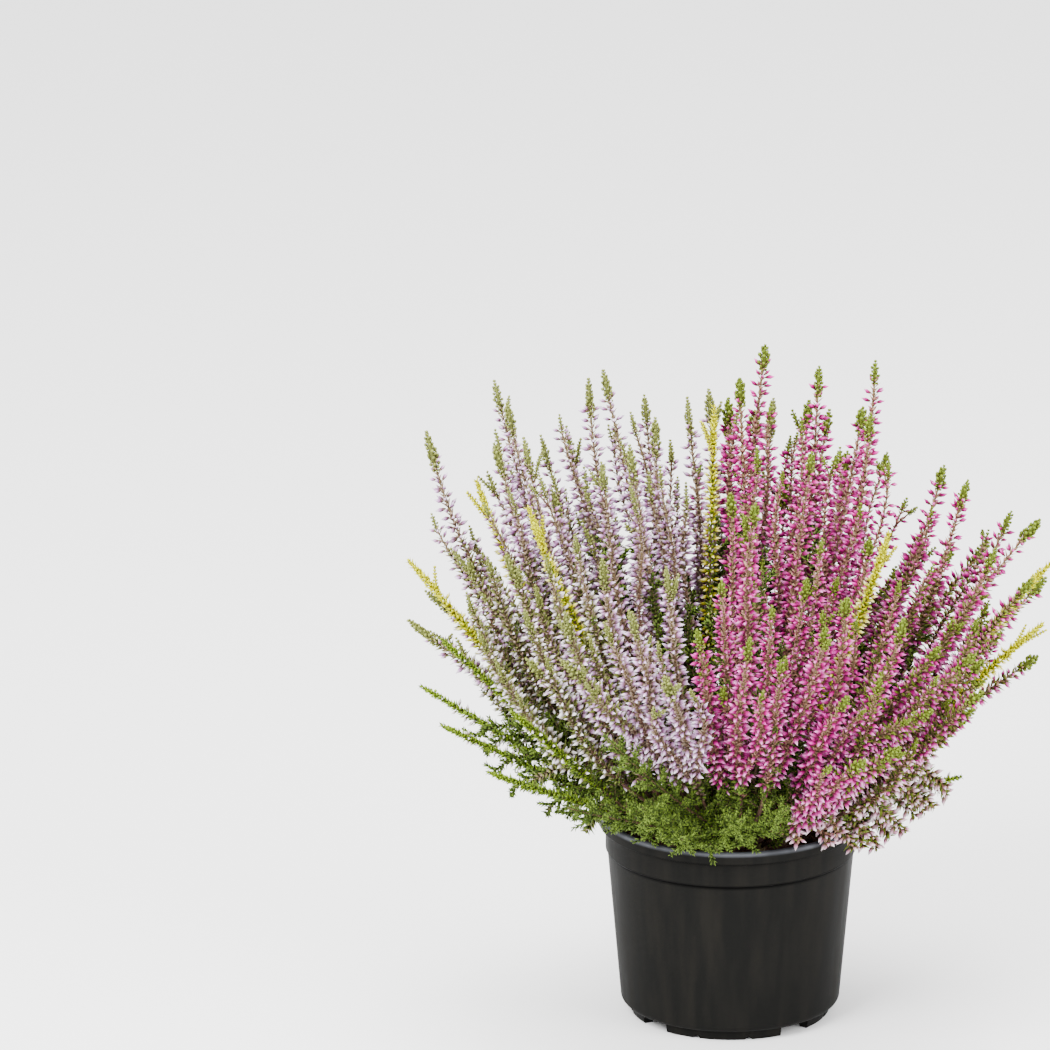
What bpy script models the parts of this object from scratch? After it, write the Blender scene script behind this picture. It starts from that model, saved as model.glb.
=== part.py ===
"""A potted bud heather: a black moulded pot, its peat and the branches that stand in it.

Metres, +Z up. The origin is on the pot's axis, level with the underside of its feet, and
the front is -Y. Every branch is one closed body: two or three spikes, or a spray of leafy
shoots, that leave one woody crown standing in a plain hole in the peat.
"""

import math

import bmesh
import bpy
import numpy as np
from mathutils import Matrix

MM = 0.001

# The pot
RIM_RADIUS = 60.0 * MM
RIM_TOP = 95.3 * MM
RIM_UNDERSIDE = 89.5 * MM
GROOVE_RADIUS = 57.3 * MM
LEDGE_HEIGHT = 77.5 * MM
LEDGE_STEP = 0.9 * MM
WALL_FOOT_RADIUS = 50.1 * MM
WALL_FOOT_HEIGHT = 8.0 * MM
LIP = 0.6 * MM
LIP_WIDTH = 2.4 * MM
FOOT_HEIGHT = 4.8 * MM
FOOT_RADIUS = 45.4 * MM
FOOT_WIDTH = 4.6 * MM
FOOT_DRAFT = 0.4 * MM
FOOT_FILLET = 0.6 * MM
FLOOR_EDGE_RADIUS = 48.1 * MM
FLOOR_TOP = 6.2 * MM
WALL = 1.2 * MM
INNER_FLOOR_RADIUS = 47.7 * MM
POT_STEPS = 32
FEET = 4
FOOT_SPAN = math.radians(70.0)
FOOT_TURN = math.radians(-5.0)
NOTCH_TURN = math.radians(15.0)
NOTCH_RADIUS = 1.3 * MM
NOTCH_LENGTH = 2.4 * MM
NOTCH_SIDES = 6
DRAIN_RADIUS = 4.0 * MM
DRAIN_CIRCLE = 31.0 * MM
DRAIN_LENGTH = 8.0 * MM
DRAIN_SIDES = 8
GAP_ROOF = 0.5 * MM
GAP_BELOW = 2.0 * MM
GAP_THICKNESS = 14.0 * MM
GAP_INSET = 2.0 * MM

# The peat
CLEARANCE = 0.3 * MM
PEAT_TOP = 86.0 * MM
PEAT_EDGE_DROP = 2.5 * MM
PEAT_SWELL = (20.0 * MM, 0.4 * MM)
PEAT_SHOULDER = (42.0 * MM, -0.6 * MM)
PEAT_SIDE = 0.7 * MM
PEAT_CHAMFER = 3.0 * MM
PEAT_STEPS = 16
HOLE_RADIUS = 3.0 * MM
HOLE_SIDES = 5
HOLE_DEPTH = 12.5 * MM

# The crown that the shoots of one branch leave
CROWN_RADIUS = 2.0 * MM
CROWN_TAPER = 0.8
CROWN_SIDES = 5
CROWN_BOTTOM = PEAT_TOP - HOLE_DEPTH + 0.5 * MM
CROWN_TOP = PEAT_TOP + 3.0 * MM
CROWN_SPACING = 7.4 * MM
CROWN_CIRCLE = 38.5 * MM
CROWN_PIVOT = 60.0 * MM
CROWN_FULL_LEAN = math.radians(58.0)
CROWN_ROUNDS = 400
CROWN_PUSH = 0.4

# The dome that the tips lie on, and the angle it is looked at from
DOME_HALF = np.array([150.0, 122.0, 120.0]) * MM
DOME_MIDDLE = np.array([0.0, 0.0, 190.0]) * MM
SIGHT = math.radians(18.4)
VIEW_UP = np.array([0.0, math.sin(SIGHT), math.cos(SIGHT)])
VIEW_OUT = np.array([0.0, -math.cos(SIGHT), math.sin(SIGHT)])

# Tips of the front spikes in millimetres: across from the pot's axis, up from its foot as
# seen from the front, and how deep in the dome, 0 on its near side and 1 on its far side
PINK_TIPS = (
    (14, 302, 0.55), (5, 286, 0.35), (1, 277, 0.60), (41, 292, 0.50), (36, 277, 0.80),
    (65, 295, 0.55), (59, 273, 0.30), (35, 253, 0.15), (49, 254, 0.62), (25, 240, 0.70),
    (-2, 234, 0.22), (9, 230, 0.05), (6, 221, 0.45), (61, 214, 0.30), (32, 196, 0.12),
    (52, 187, 0.00), (41, 174, 0.00), (5, 170, 0.00), (-17, 173, 0.00), (77, 177, 0.00),
    (87, 214, 0.60), (97, 247, 0.55), (108, 240, 0.35), (120, 208, 0.25), (128, 226, 0.60),
    (141, 221, 0.50), (135, 197, 0.25), (109, 162, 0.00), (94, 162, 0.05), (109, 148, 0.00),
    (89, 135, 0.00), (52, 142, 0.00), (72, 123, 0.00), (58, 116, 0.00),
)
LILAC_TIPS = (
    (19, 278, 0.80), (-8, 282, 0.60), (-19, 278, 0.45), (-35, 269, 0.40), (-40, 279, 0.70),
    (-46, 256, 0.25), (-58, 290, 0.55), (-65, 287, 0.75), (-60, 248, 0.15), (-82, 237, 0.45),
    (-102, 276, 0.60), (-106, 286, 0.40), (-98, 259, 0.25), (-140, 262, 0.50),
    (-76, 181, 0.05), (-32, 201, 0.00), (-33, 152, 0.00), (-78, 160, 0.00), (-92, 160, 0.10),
    (-81, 186, 0.30), (-101, 207, 0.30), (-60, 205, 0.10), (-46, 181, 0.00),
)
GOLD_TIPS = (
    (70, 215, 0.20), (144, 202, 0.45), (139, 175, 0.20), (-8, 273, 0.42), (-92, 227, 0.20),
    (-115, 240, 0.50), (-146, 203, 0.50),
)
GREEN_TIPS = (
    (-132, 168, 0.30), (-140, 147, 0.40), (-131, 130, 0.20), (-110, 108, 0.10),
    (-59, 124, 0.00), (-75, 92, 0.00), (-40, 92, 0.00), (-22, 78, 0.00), (4, 86, 0.00),
    (24, 92, 0.00), (-100, 136, 0.10), (-8, 66, 0.00),
)

# Shoots of the far half, set by rule
BACK_SEED = 5
BACK_SPIKES = 22
BACK_SHOOTS = 12
BACK_SHRINK = 0.97
PINK_FROM = -0.012
SKYLINE_ACROSS = np.array([-150.0, -130.0, -105.0, 0.0, 62.0, 80.0, 100.0, 150.0]) * MM
SKYLINE_UP = np.array([170.0, 205.0, 262.0, 272.0, 272.0, 208.0, 226.0, 190.0]) * MM

# How many branches each colour is gathered in
BRANCHES = {"pink": 22, "lilac": 16, "gold": 4, "green": 9}
SECTORS = 8

# The line of a shoot: how steeply it leaves and ends, and its curve's two handles
SAMPLES = 16
SHOOT_START = PEAT_TOP + 1.5 * MM
LEAST_RISE = math.radians(38.0)
LEAN_BEND = math.radians(17.0)
FULL_LEAN = 140.0 * MM
SWAY = 0.03
FOOT_HANDLE = 0.36
TIP_HANDLE = 0.38

# The radius that each kind of shoot needs, as (shares of its length, millimetres)
GREEN_ROOM = ((0.0, 0.07, 0.15, 0.22, 0.95, 1.0), (2.3, 1.8, 2.2, 4.0, 4.0, 2.0))
GOLD_ROOM = ((0.0, 0.07, 0.3, 0.4, 0.95, 1.0), (2.8, 2.6, 2.6, 3.5, 3.4, 2.0))
SPIKE_ROOM = ((0.0, 0.07, 0.28, 0.36, 0.86, 0.94, 1.0), (2.3, 1.8, 2.3, 5.2, 5.0, 3.0, 2.0))

# The relief along a shoot: where flowers begin, and how far buds and leaves stand out
FLOWER_FROM = 0.33
GREEN_FROM = 0.20
GOLD_FROM = 0.28
LEAVES_END = 0.97
SPIKE_END = 0.975
FLOWER_SWELL = ((0.0, 0.15, 0.7, 1.0), (0.6, 1.0, 0.95, 0.62))
TIP_LENGTH = 19.0 * MM
STEM_RADIUS = 1.0 * MM
VALLEY_RADIUS = 1.3 * MM
STEM_REACH = 2.0 * MM
FLOWER_REACH = 5.0 * MM
TIP_REACH = 2.7 * MM
LEAF_REACH = 3.8 * MM
GOLD_REACH = 3.3 * MM
END_RADIUS = 1.0 * MM
BUD_LIFT = 1.8 * MM
RING_PITCH = 11.5 * MM
LEAF_PITCH = 10.0 * MM
STEM_RINGS = 3
TIP_RINGS = 2
TIP_RINGS_END = 0.96
TIP_VALLEY_RADIUS = 1.6 * MM

# Moving the shoots clear of each other
ROUNDS = 150
GAP = 0.9 * MM
PUSH = 0.75
VIEW_HOLD = 0.45
HELD_SAMPLES = 2
SHARED_FOOT = 3
PEAT_REACH = 47.0 * MM
RIM_REACH = 70.0 * MM

COLOURS = {
    "pot": (0.022, 0.021, 0.02),
    "peat": (0.035, 0.016, 0.011),
    "pink": (0.55, 0.06, 0.28),
    "lilac": (0.58, 0.40, 0.62),
    "gold": (0.70, 0.62, 0.05),
    "green": (0.16, 0.26, 0.04),
}


def clear_scene():
    for thing in list(bpy.context.scene.objects):
        bpy.data.objects.remove(thing, do_unlink=True)


def new_collection(name):
    collection = bpy.data.collections.new(name)
    bpy.context.scene.collection.children.link(collection)
    return collection


def material(name, roughness):
    made = bpy.data.materials.new(name)
    made.use_nodes = True
    shader = made.node_tree.nodes["Principled BSDF"]
    shader.inputs["Base Color"].default_value = (*COLOURS[name], 1.0)
    shader.inputs["Roughness"].default_value = roughness
    shader.inputs["Metallic"].default_value = 0.0
    return made


def mesh_object(name, points, edges, faces, collection, surface):
    mesh = bpy.data.meshes.new(name)
    mesh.from_pydata([tuple(point) for point in points], edges, faces)
    mesh.materials.append(surface)
    thing = bpy.data.objects.new(name, mesh)
    collection.objects.link(thing)
    return thing


def turned(name, profile, steps, collection, surface):
    """A profile of (radius, height) turned about Z."""
    points = [(radius, 0.0, height) for radius, height in profile]
    edges = [(i, i + 1) for i in range(len(points) - 1)]
    thing = mesh_object(name, points, edges, [], collection, surface)
    screw = thing.modifiers.new("turn", "SCREW")
    screw.axis = "Z"
    screw.steps = steps
    screw.render_steps = steps
    screw.use_merge_vertices = True
    screw.merge_threshold = 0.00001
    return thing


def moved_to(thing, collection):
    for holder in list(thing.users_collection):
        holder.objects.unlink(thing)
    collection.objects.link(thing)


def hidden(name, place, collection):
    """The primitive just added, named and placed as a cutter."""
    thing = bpy.context.object
    thing.name = name
    thing.matrix_world = place
    thing.hide_render = True
    thing.display_type = "WIRE"
    moved_to(thing, collection)


def cutter(name, radius, length, sides, place, collection):
    bpy.ops.mesh.primitive_cylinder_add(vertices=sides, radius=radius, depth=length)
    hidden(name, place, collection)


def cut(thing, cutters):
    boolean = thing.modifiers.new("cut", "BOOLEAN")
    boolean.operation = "DIFFERENCE"
    boolean.operand_type = "COLLECTION"
    boolean.collection = cutters
    boolean.solver = "EXACT"


def outer_radius(height):
    """The tapered wall between the ledge and the wall's foot."""
    top = GROOVE_RADIUS - LEDGE_STEP - 0.1 * MM
    share = (height - WALL_FOOT_HEIGHT) / (LEDGE_HEIGHT - WALL_FOOT_HEIGHT)
    return WALL_FOOT_RADIUS + (top - WALL_FOOT_RADIUS) * share


def inner_radius(height):
    """The straight inner wall, a little thicker towards the floor."""
    top = outer_radius(LEDGE_HEIGHT) - WALL
    share = (height - FLOOR_TOP) / (LEDGE_HEIGHT - FLOOR_TOP)
    return INNER_FLOOR_RADIUS + (top - INNER_FLOOR_RADIUS) * share


def make_pot(collection):
    profile = (
        (0.0, FLOOR_TOP),
        (INNER_FLOOR_RADIUS, FLOOR_TOP),
        (inner_radius(LEDGE_HEIGHT), LEDGE_HEIGHT),
        (RIM_RADIUS - LIP_WIDTH - LIP, RIM_TOP - LIP),
        (RIM_RADIUS - LIP_WIDTH, RIM_TOP),
        (RIM_RADIUS - LIP, RIM_TOP),
        (RIM_RADIUS, RIM_TOP - LIP),
        (RIM_RADIUS, RIM_UNDERSIDE),
        (GROOVE_RADIUS, RIM_UNDERSIDE - 0.3 * MM),
        (GROOVE_RADIUS - 0.1 * MM, LEDGE_HEIGHT + 0.7 * MM),
        (outer_radius(LEDGE_HEIGHT), LEDGE_HEIGHT - 0.2 * MM),
        (WALL_FOOT_RADIUS, WALL_FOOT_HEIGHT),
        (FLOOR_EDGE_RADIUS, FOOT_HEIGHT),
        (FOOT_RADIUS + FOOT_FILLET, FOOT_HEIGHT - FOOT_DRAFT),
        (FOOT_RADIUS, 0.0),
        (FOOT_RADIUS - FOOT_WIDTH, 0.0),
        (FOOT_RADIUS - FOOT_WIDTH - FOOT_DRAFT, FOOT_HEIGHT),
        (0.0, FOOT_HEIGHT),
    )
    pot = turned("pot", profile, POT_STEPS, collection, material("pot", 0.45))
    cutters = new_collection("pot_cutters")
    gap_span = math.tau / FEET - FOOT_SPAN
    gap_width = 2 * FOOT_RADIUS * math.sin(gap_span / 2)
    gap_height = FOOT_HEIGHT - GAP_ROOF
    size = Matrix.Diagonal((GAP_THICKNESS, gap_width, gap_height + GAP_BELOW, 1))
    for foot in range(FEET):
        middle = FOOT_TURN + foot * math.tau / FEET - math.pi / 2
        for side in (-1, 1):
            turn = Matrix.Rotation(middle + side * NOTCH_TURN, 4, "Z")
            place = turn @ Matrix.Translation((FOOT_RADIUS, 0, 0)) @ Matrix.Rotation(math.pi / 2, 4, "Y")
            cutter(f"notch_{foot}_{side}", NOTCH_RADIUS, NOTCH_LENGTH, NOTCH_SIDES, place, cutters)
        turn = Matrix.Rotation(middle + math.tau / FEET / 2, 4, "Z")
        place = turn @ Matrix.Translation((DRAIN_CIRCLE, 0, FOOT_HEIGHT))
        cutter(f"drain_{foot}", DRAIN_RADIUS, DRAIN_LENGTH, DRAIN_SIDES, place, cutters)
        bpy.ops.mesh.primitive_cube_add(size=1.0)
        middle_of_gap = (FOOT_RADIUS - GAP_INSET, 0, 0.5 * gap_height - 0.5 * GAP_BELOW)
        hidden(f"foot_gap_{foot}", turn @ Matrix.Translation(middle_of_gap) @ size, cutters)
    cut(pot, cutters)


def make_peat(collection, crowns):
    base = FLOOR_TOP + CLEARANCE
    foot = base + PEAT_CHAMFER
    profile = (
        (0.0, PEAT_TOP),
        (PEAT_SWELL[0], PEAT_TOP + PEAT_SWELL[1]),
        (PEAT_SHOULDER[0], PEAT_TOP + PEAT_SHOULDER[1]),
        (inner_radius(PEAT_TOP) - PEAT_SIDE, PEAT_TOP - PEAT_EDGE_DROP),
        (inner_radius(foot) - PEAT_SIDE, foot),
        (inner_radius(foot) - PEAT_SIDE - PEAT_CHAMFER, base),
        (0.0, base),
    )
    peat = turned("peat", profile, PEAT_STEPS, collection, material("peat", 0.95))
    holes = new_collection("peat_cutters")
    for number, (x, y) in enumerate(crowns):
        height = 2 * HOLE_DEPTH
        place = Matrix.Translation((x, y, PEAT_TOP - HOLE_DEPTH + height / 2))
        cutter(f"hole_{number:02d}", HOLE_RADIUS, height, HOLE_SIDES, place, holes)
    cut(peat, holes)


def on_dome(across, seen, depth):
    """The point of the dome that lies at (across, seen) in the front view.

    The line of sight meets the dome twice; depth runs from the near meeting, 0, to the far
    one, 1. Past the dome's outline both are the line's nearest point.
    """
    start = np.array([across, 0.0, 0.0]) + seen * VIEW_UP
    a = np.sum((VIEW_OUT / DOME_HALF) ** 2)
    b = np.sum((start - DOME_MIDDLE) * VIEW_OUT / DOME_HALF**2)
    c = np.sum(((start - DOME_MIDDLE) / DOME_HALF) ** 2) - 1.0
    half = math.sqrt(max(0.0, b * b - a * c)) / a
    return start + (-b / a + half * (1.0 - 2.0 * depth)) * VIEW_OUT


def back_tips(count, low, high, draw):
    """Tips on the far side of the dome, evenly round it, kept under the front's skyline."""
    tips = []
    golden = math.pi * (3.0 - math.sqrt(5.0))
    for number in range(count):
        share = (number + 0.5) / count
        rise = low + (high - low) * share
        turn = (number * golden + draw.uniform(-0.2, 0.2)) % math.pi
        level = math.sqrt(1.0 - rise * rise)
        tip = DOME_MIDDLE + BACK_SHRINK * DOME_HALF * np.array(
            [level * math.cos(turn), level * math.sin(turn), rise]
        )
        limit = np.interp(tip[0], SKYLINE_ACROSS, SKYLINE_UP)
        over = tip @ VIEW_UP - limit
        if over > 0:
            tip[2] -= over / VIEW_UP[2]
        tips.append(tip)
    return tips


def all_tips():
    """Every shoot's colour and tip."""
    draw = np.random.default_rng(BACK_SEED)
    tips = []
    for colour, listed in (
        ("pink", PINK_TIPS),
        ("lilac", LILAC_TIPS),
        ("gold", GOLD_TIPS),
        ("green", GREEN_TIPS),
    ):
        tips += [(colour, on_dome(x * MM, seen * MM, depth)) for x, seen, depth in listed]
    for tip in back_tips(BACK_SPIKES, -0.25, 0.93, draw):
        colour = "pink" if tip[0] > PINK_FROM else "lilac"
        tips.append((colour, tip))
    for tip in back_tips(BACK_SHOOTS, -0.85, -0.45, draw):
        tips.append(("green", tip))
    return tips


def gathered(tips):
    """Branches of neighbouring shoots: (colour, list of tips), the shoots of a branch together.

    Round the pot's axis in sectors, out and in again by turns, so that neighbours in the
    order are neighbours on the plant.
    """
    branches = []
    for colour, count in BRANCHES.items():
        own = [tip for kind, tip in tips if kind == colour]
        keys = []
        for tip in own:
            turn = (math.atan2(tip[1], tip[0]) + math.pi) / math.tau
            sector = int(turn * SECTORS) % SECTORS
            reach = math.hypot(tip[0], tip[1])
            keys.append((sector, reach if sector % 2 else -reach))
        order = sorted(range(len(own)), key=lambda i: keys[i])
        for part in np.array_split(order, count):
            branches.append((colour, [own[i] for i in part]))
    return branches


def crown_places(branches):
    """A place in the peat for each branch: further out the lower it leans.

    The lean is taken from a pivot on the axis, under the peat's top, so that upright
    branches stand in the middle, low ones round the edge, and none has to cross another.
    """
    spots = []
    for _, tips in branches:
        middle = np.mean(tips, axis=0)
        reach = math.hypot(middle[0], middle[1])
        lean = math.atan2(reach, middle[2] - CROWN_PIVOT)
        spots.append(middle[:2] / reach * CROWN_CIRCLE * min(1.0, lean / CROWN_FULL_LEAN))
    spots = np.array(spots)
    for _ in range(CROWN_ROUNDS):
        apart = spots[:, None] - spots[None]
        far = np.linalg.norm(apart, axis=2)
        np.fill_diagonal(far, 1.0)
        short = np.clip(CROWN_SPACING - far, 0.0, None)
        spots = spots + CROWN_PUSH * np.sum(apart / far[..., None] * short[..., None], axis=1)
        reach = np.linalg.norm(spots, axis=1)
        spots = spots * np.minimum(1.0, CROWN_CIRCLE / np.maximum(reach, MM))[:, None]
    return spots


def shoot_line(crown, tip, draw):
    """Points along a cubic curve that leaves the crown low and turns up towards the tip."""
    start = np.array([crown[0], crown[1], SHOOT_START])
    run = np.array([tip[0] - start[0], tip[1] - start[1], 0.0])
    level = np.linalg.norm(run)
    away = run / level
    length = np.linalg.norm(tip - start)
    chord = math.atan2(tip[2] - start[2], level)
    bend = LEAN_BEND * min(1.0, math.hypot(tip[0], tip[1]) / FULL_LEAN)
    first = max(chord - bend, LEAST_RISE)
    last = chord + bend if chord - bend > LEAST_RISE else chord
    up = np.array([0.0, 0.0, 1.0])
    side = np.cross(up, away) * draw.uniform(-SWAY, SWAY) * length
    second = start + FOOT_HANDLE * length * (math.cos(first) * away + math.sin(first) * up) + side
    third = tip - TIP_HANDLE * length * (math.cos(last) * away + math.sin(last) * up) + side
    s = np.linspace(0.0, 1.0, SAMPLES)[:, None]
    return (
        (1 - s) ** 3 * start
        + 3 * s * (1 - s) ** 2 * second
        + 3 * s**2 * (1 - s) * third
        + s**3 * tip
    )


def room(colour):
    """The radius that a shoot needs at each of its samples."""
    kinds = {"green": GREEN_ROOM, "gold": GOLD_ROOM, "pink": SPIKE_ROOM, "lilac": SPIKE_ROOM}
    shares, radii = kinds[colour]
    return np.interp(np.linspace(0.0, 1.0, SAMPLES), shares, radii) * MM


def nearest_between(a0, a1, b0, b1):
    """Shares along two rows of segments at which each pair is nearest."""
    u = a1 - a0
    v = b1 - b0
    w = a0 - b0
    uu = np.sum(u * u, axis=1)
    vv = np.sum(v * v, axis=1)
    uv = np.sum(u * v, axis=1)
    uw = np.sum(u * w, axis=1)
    vw = np.sum(v * w, axis=1)
    s = np.clip((uv * vw - vv * uw) / np.maximum(uu * vv - uv * uv, 1e-16), 0.0, 1.0)
    t = np.clip((uv * s + vw) / np.maximum(vv, 1e-16), 0.0, 1.0)
    s = np.clip((uv * t - uw) / np.maximum(uu, 1e-16), 0.0, 1.0)
    return s[:, None], t[:, None]


def held_above(lines, rooms):
    """Samples lifted clear of the peat and of the pot's rim."""
    reach = np.hypot(lines[..., 0], lines[..., 1])
    floor = np.where(reach < PEAT_REACH, PEAT_TOP + GAP, RIM_TOP + GAP) + rooms
    over = (reach < RIM_REACH) & (lines[..., 2] < floor)
    over[:, :HELD_SAMPLES] = False
    lines[..., 2] = np.where(over, floor, lines[..., 2])
    return lines


def pushed_apart(lines, rooms, owner):
    """Shoots moved off each other until none of different branches touch.

    Segments nearer than their rooms are pushed apart along the line between their nearest
    points, less across the front view than in depth, and each shoot is evened out again.
    """
    free = np.clip(np.linspace(0.0, SAMPLES / 2, SAMPLES), 0.0, 1.0)
    still = lines.copy()
    shoot = np.repeat(np.arange(len(lines)), SAMPLES - 1)
    place = np.tile(np.arange(SAMPLES - 1), len(lines))
    same = owner[shoot][:, None] == owner[shoot][None]
    allowed = np.triu(shoot[:, None] != shoot[None], 1)
    allowed &= ~(same & ((place[:, None] < SHARED_FOOT) | (place[None] < SHARED_FOOT)))
    segment_room = np.maximum(rooms[shoot, place], rooms[shoot, place + 1])
    for _ in range(ROUNDS):
        a = lines[shoot, place]
        b = lines[shoot, place + 1]
        middle = (0.5 * (a + b)).astype(np.float32)
        half = 0.5 * np.linalg.norm(b - a, axis=1)
        square = np.sum(middle * middle, axis=1)
        far2 = square[:, None] + square[None] - 2.0 * middle @ middle.T
        limit = (half[:, None] + half[None]) + segment_room[:, None] + segment_room[None] + GAP
        first, second = np.nonzero(allowed & (far2 < limit**2))
        s, t = nearest_between(a[first], b[first], a[second], b[second])
        gap = (a[first] + s * (b - a)[first]) - (a[second] + t * (b - a)[second])
        far = np.linalg.norm(gap, axis=1)[:, None]
        need = rooms[shoot[first], place[first]][:, None] * (1 - s)
        need = need + rooms[shoot[first], place[first] + 1][:, None] * s
        need = need + rooms[shoot[second], place[second]][:, None] * (1 - t)
        need = need + rooms[shoot[second], place[second] + 1][:, None] * t + GAP
        short = np.clip(need - far, 0.0, None)
        step = PUSH * 0.5 * short * gap / np.maximum(far, 0.01 * MM)
        moved = np.zeros_like(lines)
        np.add.at(moved, (shoot[first], place[first]), step * (1 - s))
        np.add.at(moved, (shoot[first], place[first] + 1), step * s)
        np.add.at(moved, (shoot[second], place[second]), -step * (1 - t))
        np.add.at(moved, (shoot[second], place[second] + 1), -step * t)
        out = moved @ VIEW_OUT
        moved = VIEW_HOLD * moved + (1 - VIEW_HOLD) * out[..., None] * VIEW_OUT
        drift = lines + moved * free[:, None] - still
        even = drift.copy()
        even[:, 1:-1] = 0.5 * drift[:, 1:-1] + 0.25 * (drift[:, :-2] + drift[:, 2:])
        even[:, -1] = 0.5 * (drift[:, -1] + drift[:, -2])
        lines = still + even
        lines[:, 0] = still[:, 0]
        lines = held_above(lines, rooms)
    return lines


def along(line, shares):
    """Points and directions at shares of a line's length, on a smooth curve through it."""
    step = np.linalg.norm(np.diff(line, axis=0), axis=1)
    place = np.concatenate([[0.0], np.cumsum(step)])
    slopes = np.gradient(line, place, axis=0)
    want = np.asarray(shares) * place[-1]
    low = np.clip(np.searchsorted(place, want, side="right") - 1, 0, len(line) - 2)
    span = (place[low + 1] - place[low])[:, None]
    t = (want - place[low])[:, None] / span
    points = (
        (2 * t**3 - 3 * t**2 + 1) * line[low]
        + (t**3 - 2 * t**2 + t) * span * slopes[low]
        + (3 * t**2 - 2 * t**3) * line[low + 1]
        + (t**3 - t**2) * span * slopes[low + 1]
    )
    ahead = (1 - t) * slopes[low] + t * slopes[low + 1]
    return points, ahead / np.linalg.norm(ahead, axis=1)[:, None], place[-1]


def relief(colour, length):
    """Rings along a shoot as (share of its length, radius in the valleys, radius at the buds)."""
    if colour in ("green", "gold"):
        reach = LEAF_REACH if colour == "green" else GOLD_REACH
        bare = GREEN_FROM if colour == "green" else GOLD_FROM
        count = max(4, round(length * (1 - bare) / LEAF_PITCH))
        rings = [(0.0, STEM_RADIUS, STEM_RADIUS), (bare, STEM_RADIUS, STEM_REACH)]
        for k in range(1, count):
            rings.append((bare + (LEAVES_END - bare) * k / count, VALLEY_RADIUS, reach))
        rings.append((LEAVES_END, END_RADIUS, END_RADIUS))
        return rings
    tip = 1.0 - TIP_LENGTH / length
    rings = [(0.0, STEM_RADIUS, STEM_RADIUS)]
    for k in range(1, STEM_RINGS):
        rings.append((FLOWER_FROM * k / STEM_RINGS, STEM_RADIUS, STEM_REACH))
    count = max(5, round(length * (tip - FLOWER_FROM) / RING_PITCH))
    for k in range(count + 1):
        t = k / count
        reach = FLOWER_REACH * float(np.interp(t, *FLOWER_SWELL))
        rings.append((FLOWER_FROM + (tip - FLOWER_FROM) * t, VALLEY_RADIUS, reach))
    for k in range(1, TIP_RINGS):
        rings.append((tip + (TIP_RINGS_END - tip) * k / TIP_RINGS, TIP_VALLEY_RADIUS, TIP_REACH))
    rings.append((SPIKE_END, END_RADIUS, END_RADIUS))
    return rings


def shoot_mesh(line, colour, turn):
    """A four-sided tube whose every second corner is drawn out into a pointed bud or leaf.

    Ring k keeps corners of the other parity than ring k + 1 low, so each bud is a pyramid
    of four triangles that meet their neighbours in the valleys.
    """
    length = np.sum(np.linalg.norm(np.diff(line, axis=0), axis=1))
    rings = relief(colour, length)
    points, ahead, length = along(line, [ring[0] for ring in rings])
    tip = line[-1]
    level = np.array([-(tip[1] - line[0][1]), tip[0] - line[0][0], 0.0])
    level /= np.linalg.norm(level)
    side = level - np.sum(ahead * level, axis=1)[:, None] * ahead
    side /= np.linalg.norm(side, axis=1)[:, None]
    other = np.cross(ahead, side)
    verts = []
    faces = [(3, 2, 1, 0)]
    for k, (_, low, high) in enumerate(rings):
        for corner in range(4):
            raised = (corner + k) % 2 == 0
            radius = high if raised else low
            angle = turn + corner * math.pi / 2
            lift = BUD_LIFT if raised and high > 1.5 * low else 0.0
            verts.append(
                points[k]
                + radius * (math.cos(angle) * side[k] + math.sin(angle) * other[k])
                + lift * ahead[k]
            )
    for k in range(len(rings) - 1):
        for corner in range(4):
            a = 4 * k + corner
            b = 4 * k + (corner + 1) % 4
            c = b + 4
            d = a + 4
            if (corner + k) % 2 == 0:
                faces += [(a, b, d), (b, c, d)]
            else:
                faces += [(a, b, c), (a, c, d)]
    top = len(verts)
    verts.append(tip)
    last = 4 * (len(rings) - 1)
    for corner in range(4):
        faces.append((last + corner, last + (corner + 1) % 4, top))
    return verts, faces


def keep_outer_skin(mesh):
    """Fill any hollow that joining has sealed: only the largest connected skin stays."""
    work = bmesh.new()
    work.from_mesh(mesh)
    left = set(work.verts)
    skins = []
    while left:
        skin = set()
        edge = [left.pop()]
        while edge:
            vert = edge.pop()
            skin.add(vert)
            near = {link.other_vert(vert) for link in vert.link_edges} & left
            left -= near
            edge += near
        skins.append(skin)
    skins.sort(key=len)
    for skin in skins[:-1]:
        bmesh.ops.delete(work, geom=list(skin), context="VERTS")
    work.to_mesh(mesh)
    work.free()


def make_branch(name, colour, crown, lines, collection, surface, draw):
    """The shoots of one branch and the woody crown that they leave, joined in one body."""
    height = CROWN_TOP - CROWN_BOTTOM
    bpy.ops.mesh.primitive_cone_add(
        vertices=CROWN_SIDES, radius1=CROWN_RADIUS, radius2=CROWN_RADIUS * CROWN_TAPER, depth=height
    )
    branch = bpy.context.object
    branch.name = name
    branch.data.name = name
    branch.data.transform(Matrix.Translation((*crown, CROWN_BOTTOM + height / 2)))
    branch.data.materials.append(surface)
    moved_to(branch, collection)
    repeats = new_collection(name + "_shoots")
    for number, line in enumerate(lines):
        verts, faces = shoot_mesh(line, colour, draw.uniform(0.0, math.pi / 2))
        mesh_object(f"{name}_shoot_{number}", verts, [], faces, repeats, surface)
    boolean = branch.modifiers.new("join", "BOOLEAN")
    boolean.operation = "UNION"
    boolean.operand_type = "COLLECTION"
    boolean.collection = repeats
    boolean.solver = "EXACT"
    scene_now = bpy.context.evaluated_depsgraph_get()
    joined = bpy.data.meshes.new_from_object(branch.evaluated_get(scene_now))
    branch.modifiers.clear()
    branch.data = joined
    keep_outer_skin(joined)
    for thing in list(repeats.objects):
        bpy.data.objects.remove(thing, do_unlink=True)
    bpy.data.collections.remove(repeats)


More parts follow.
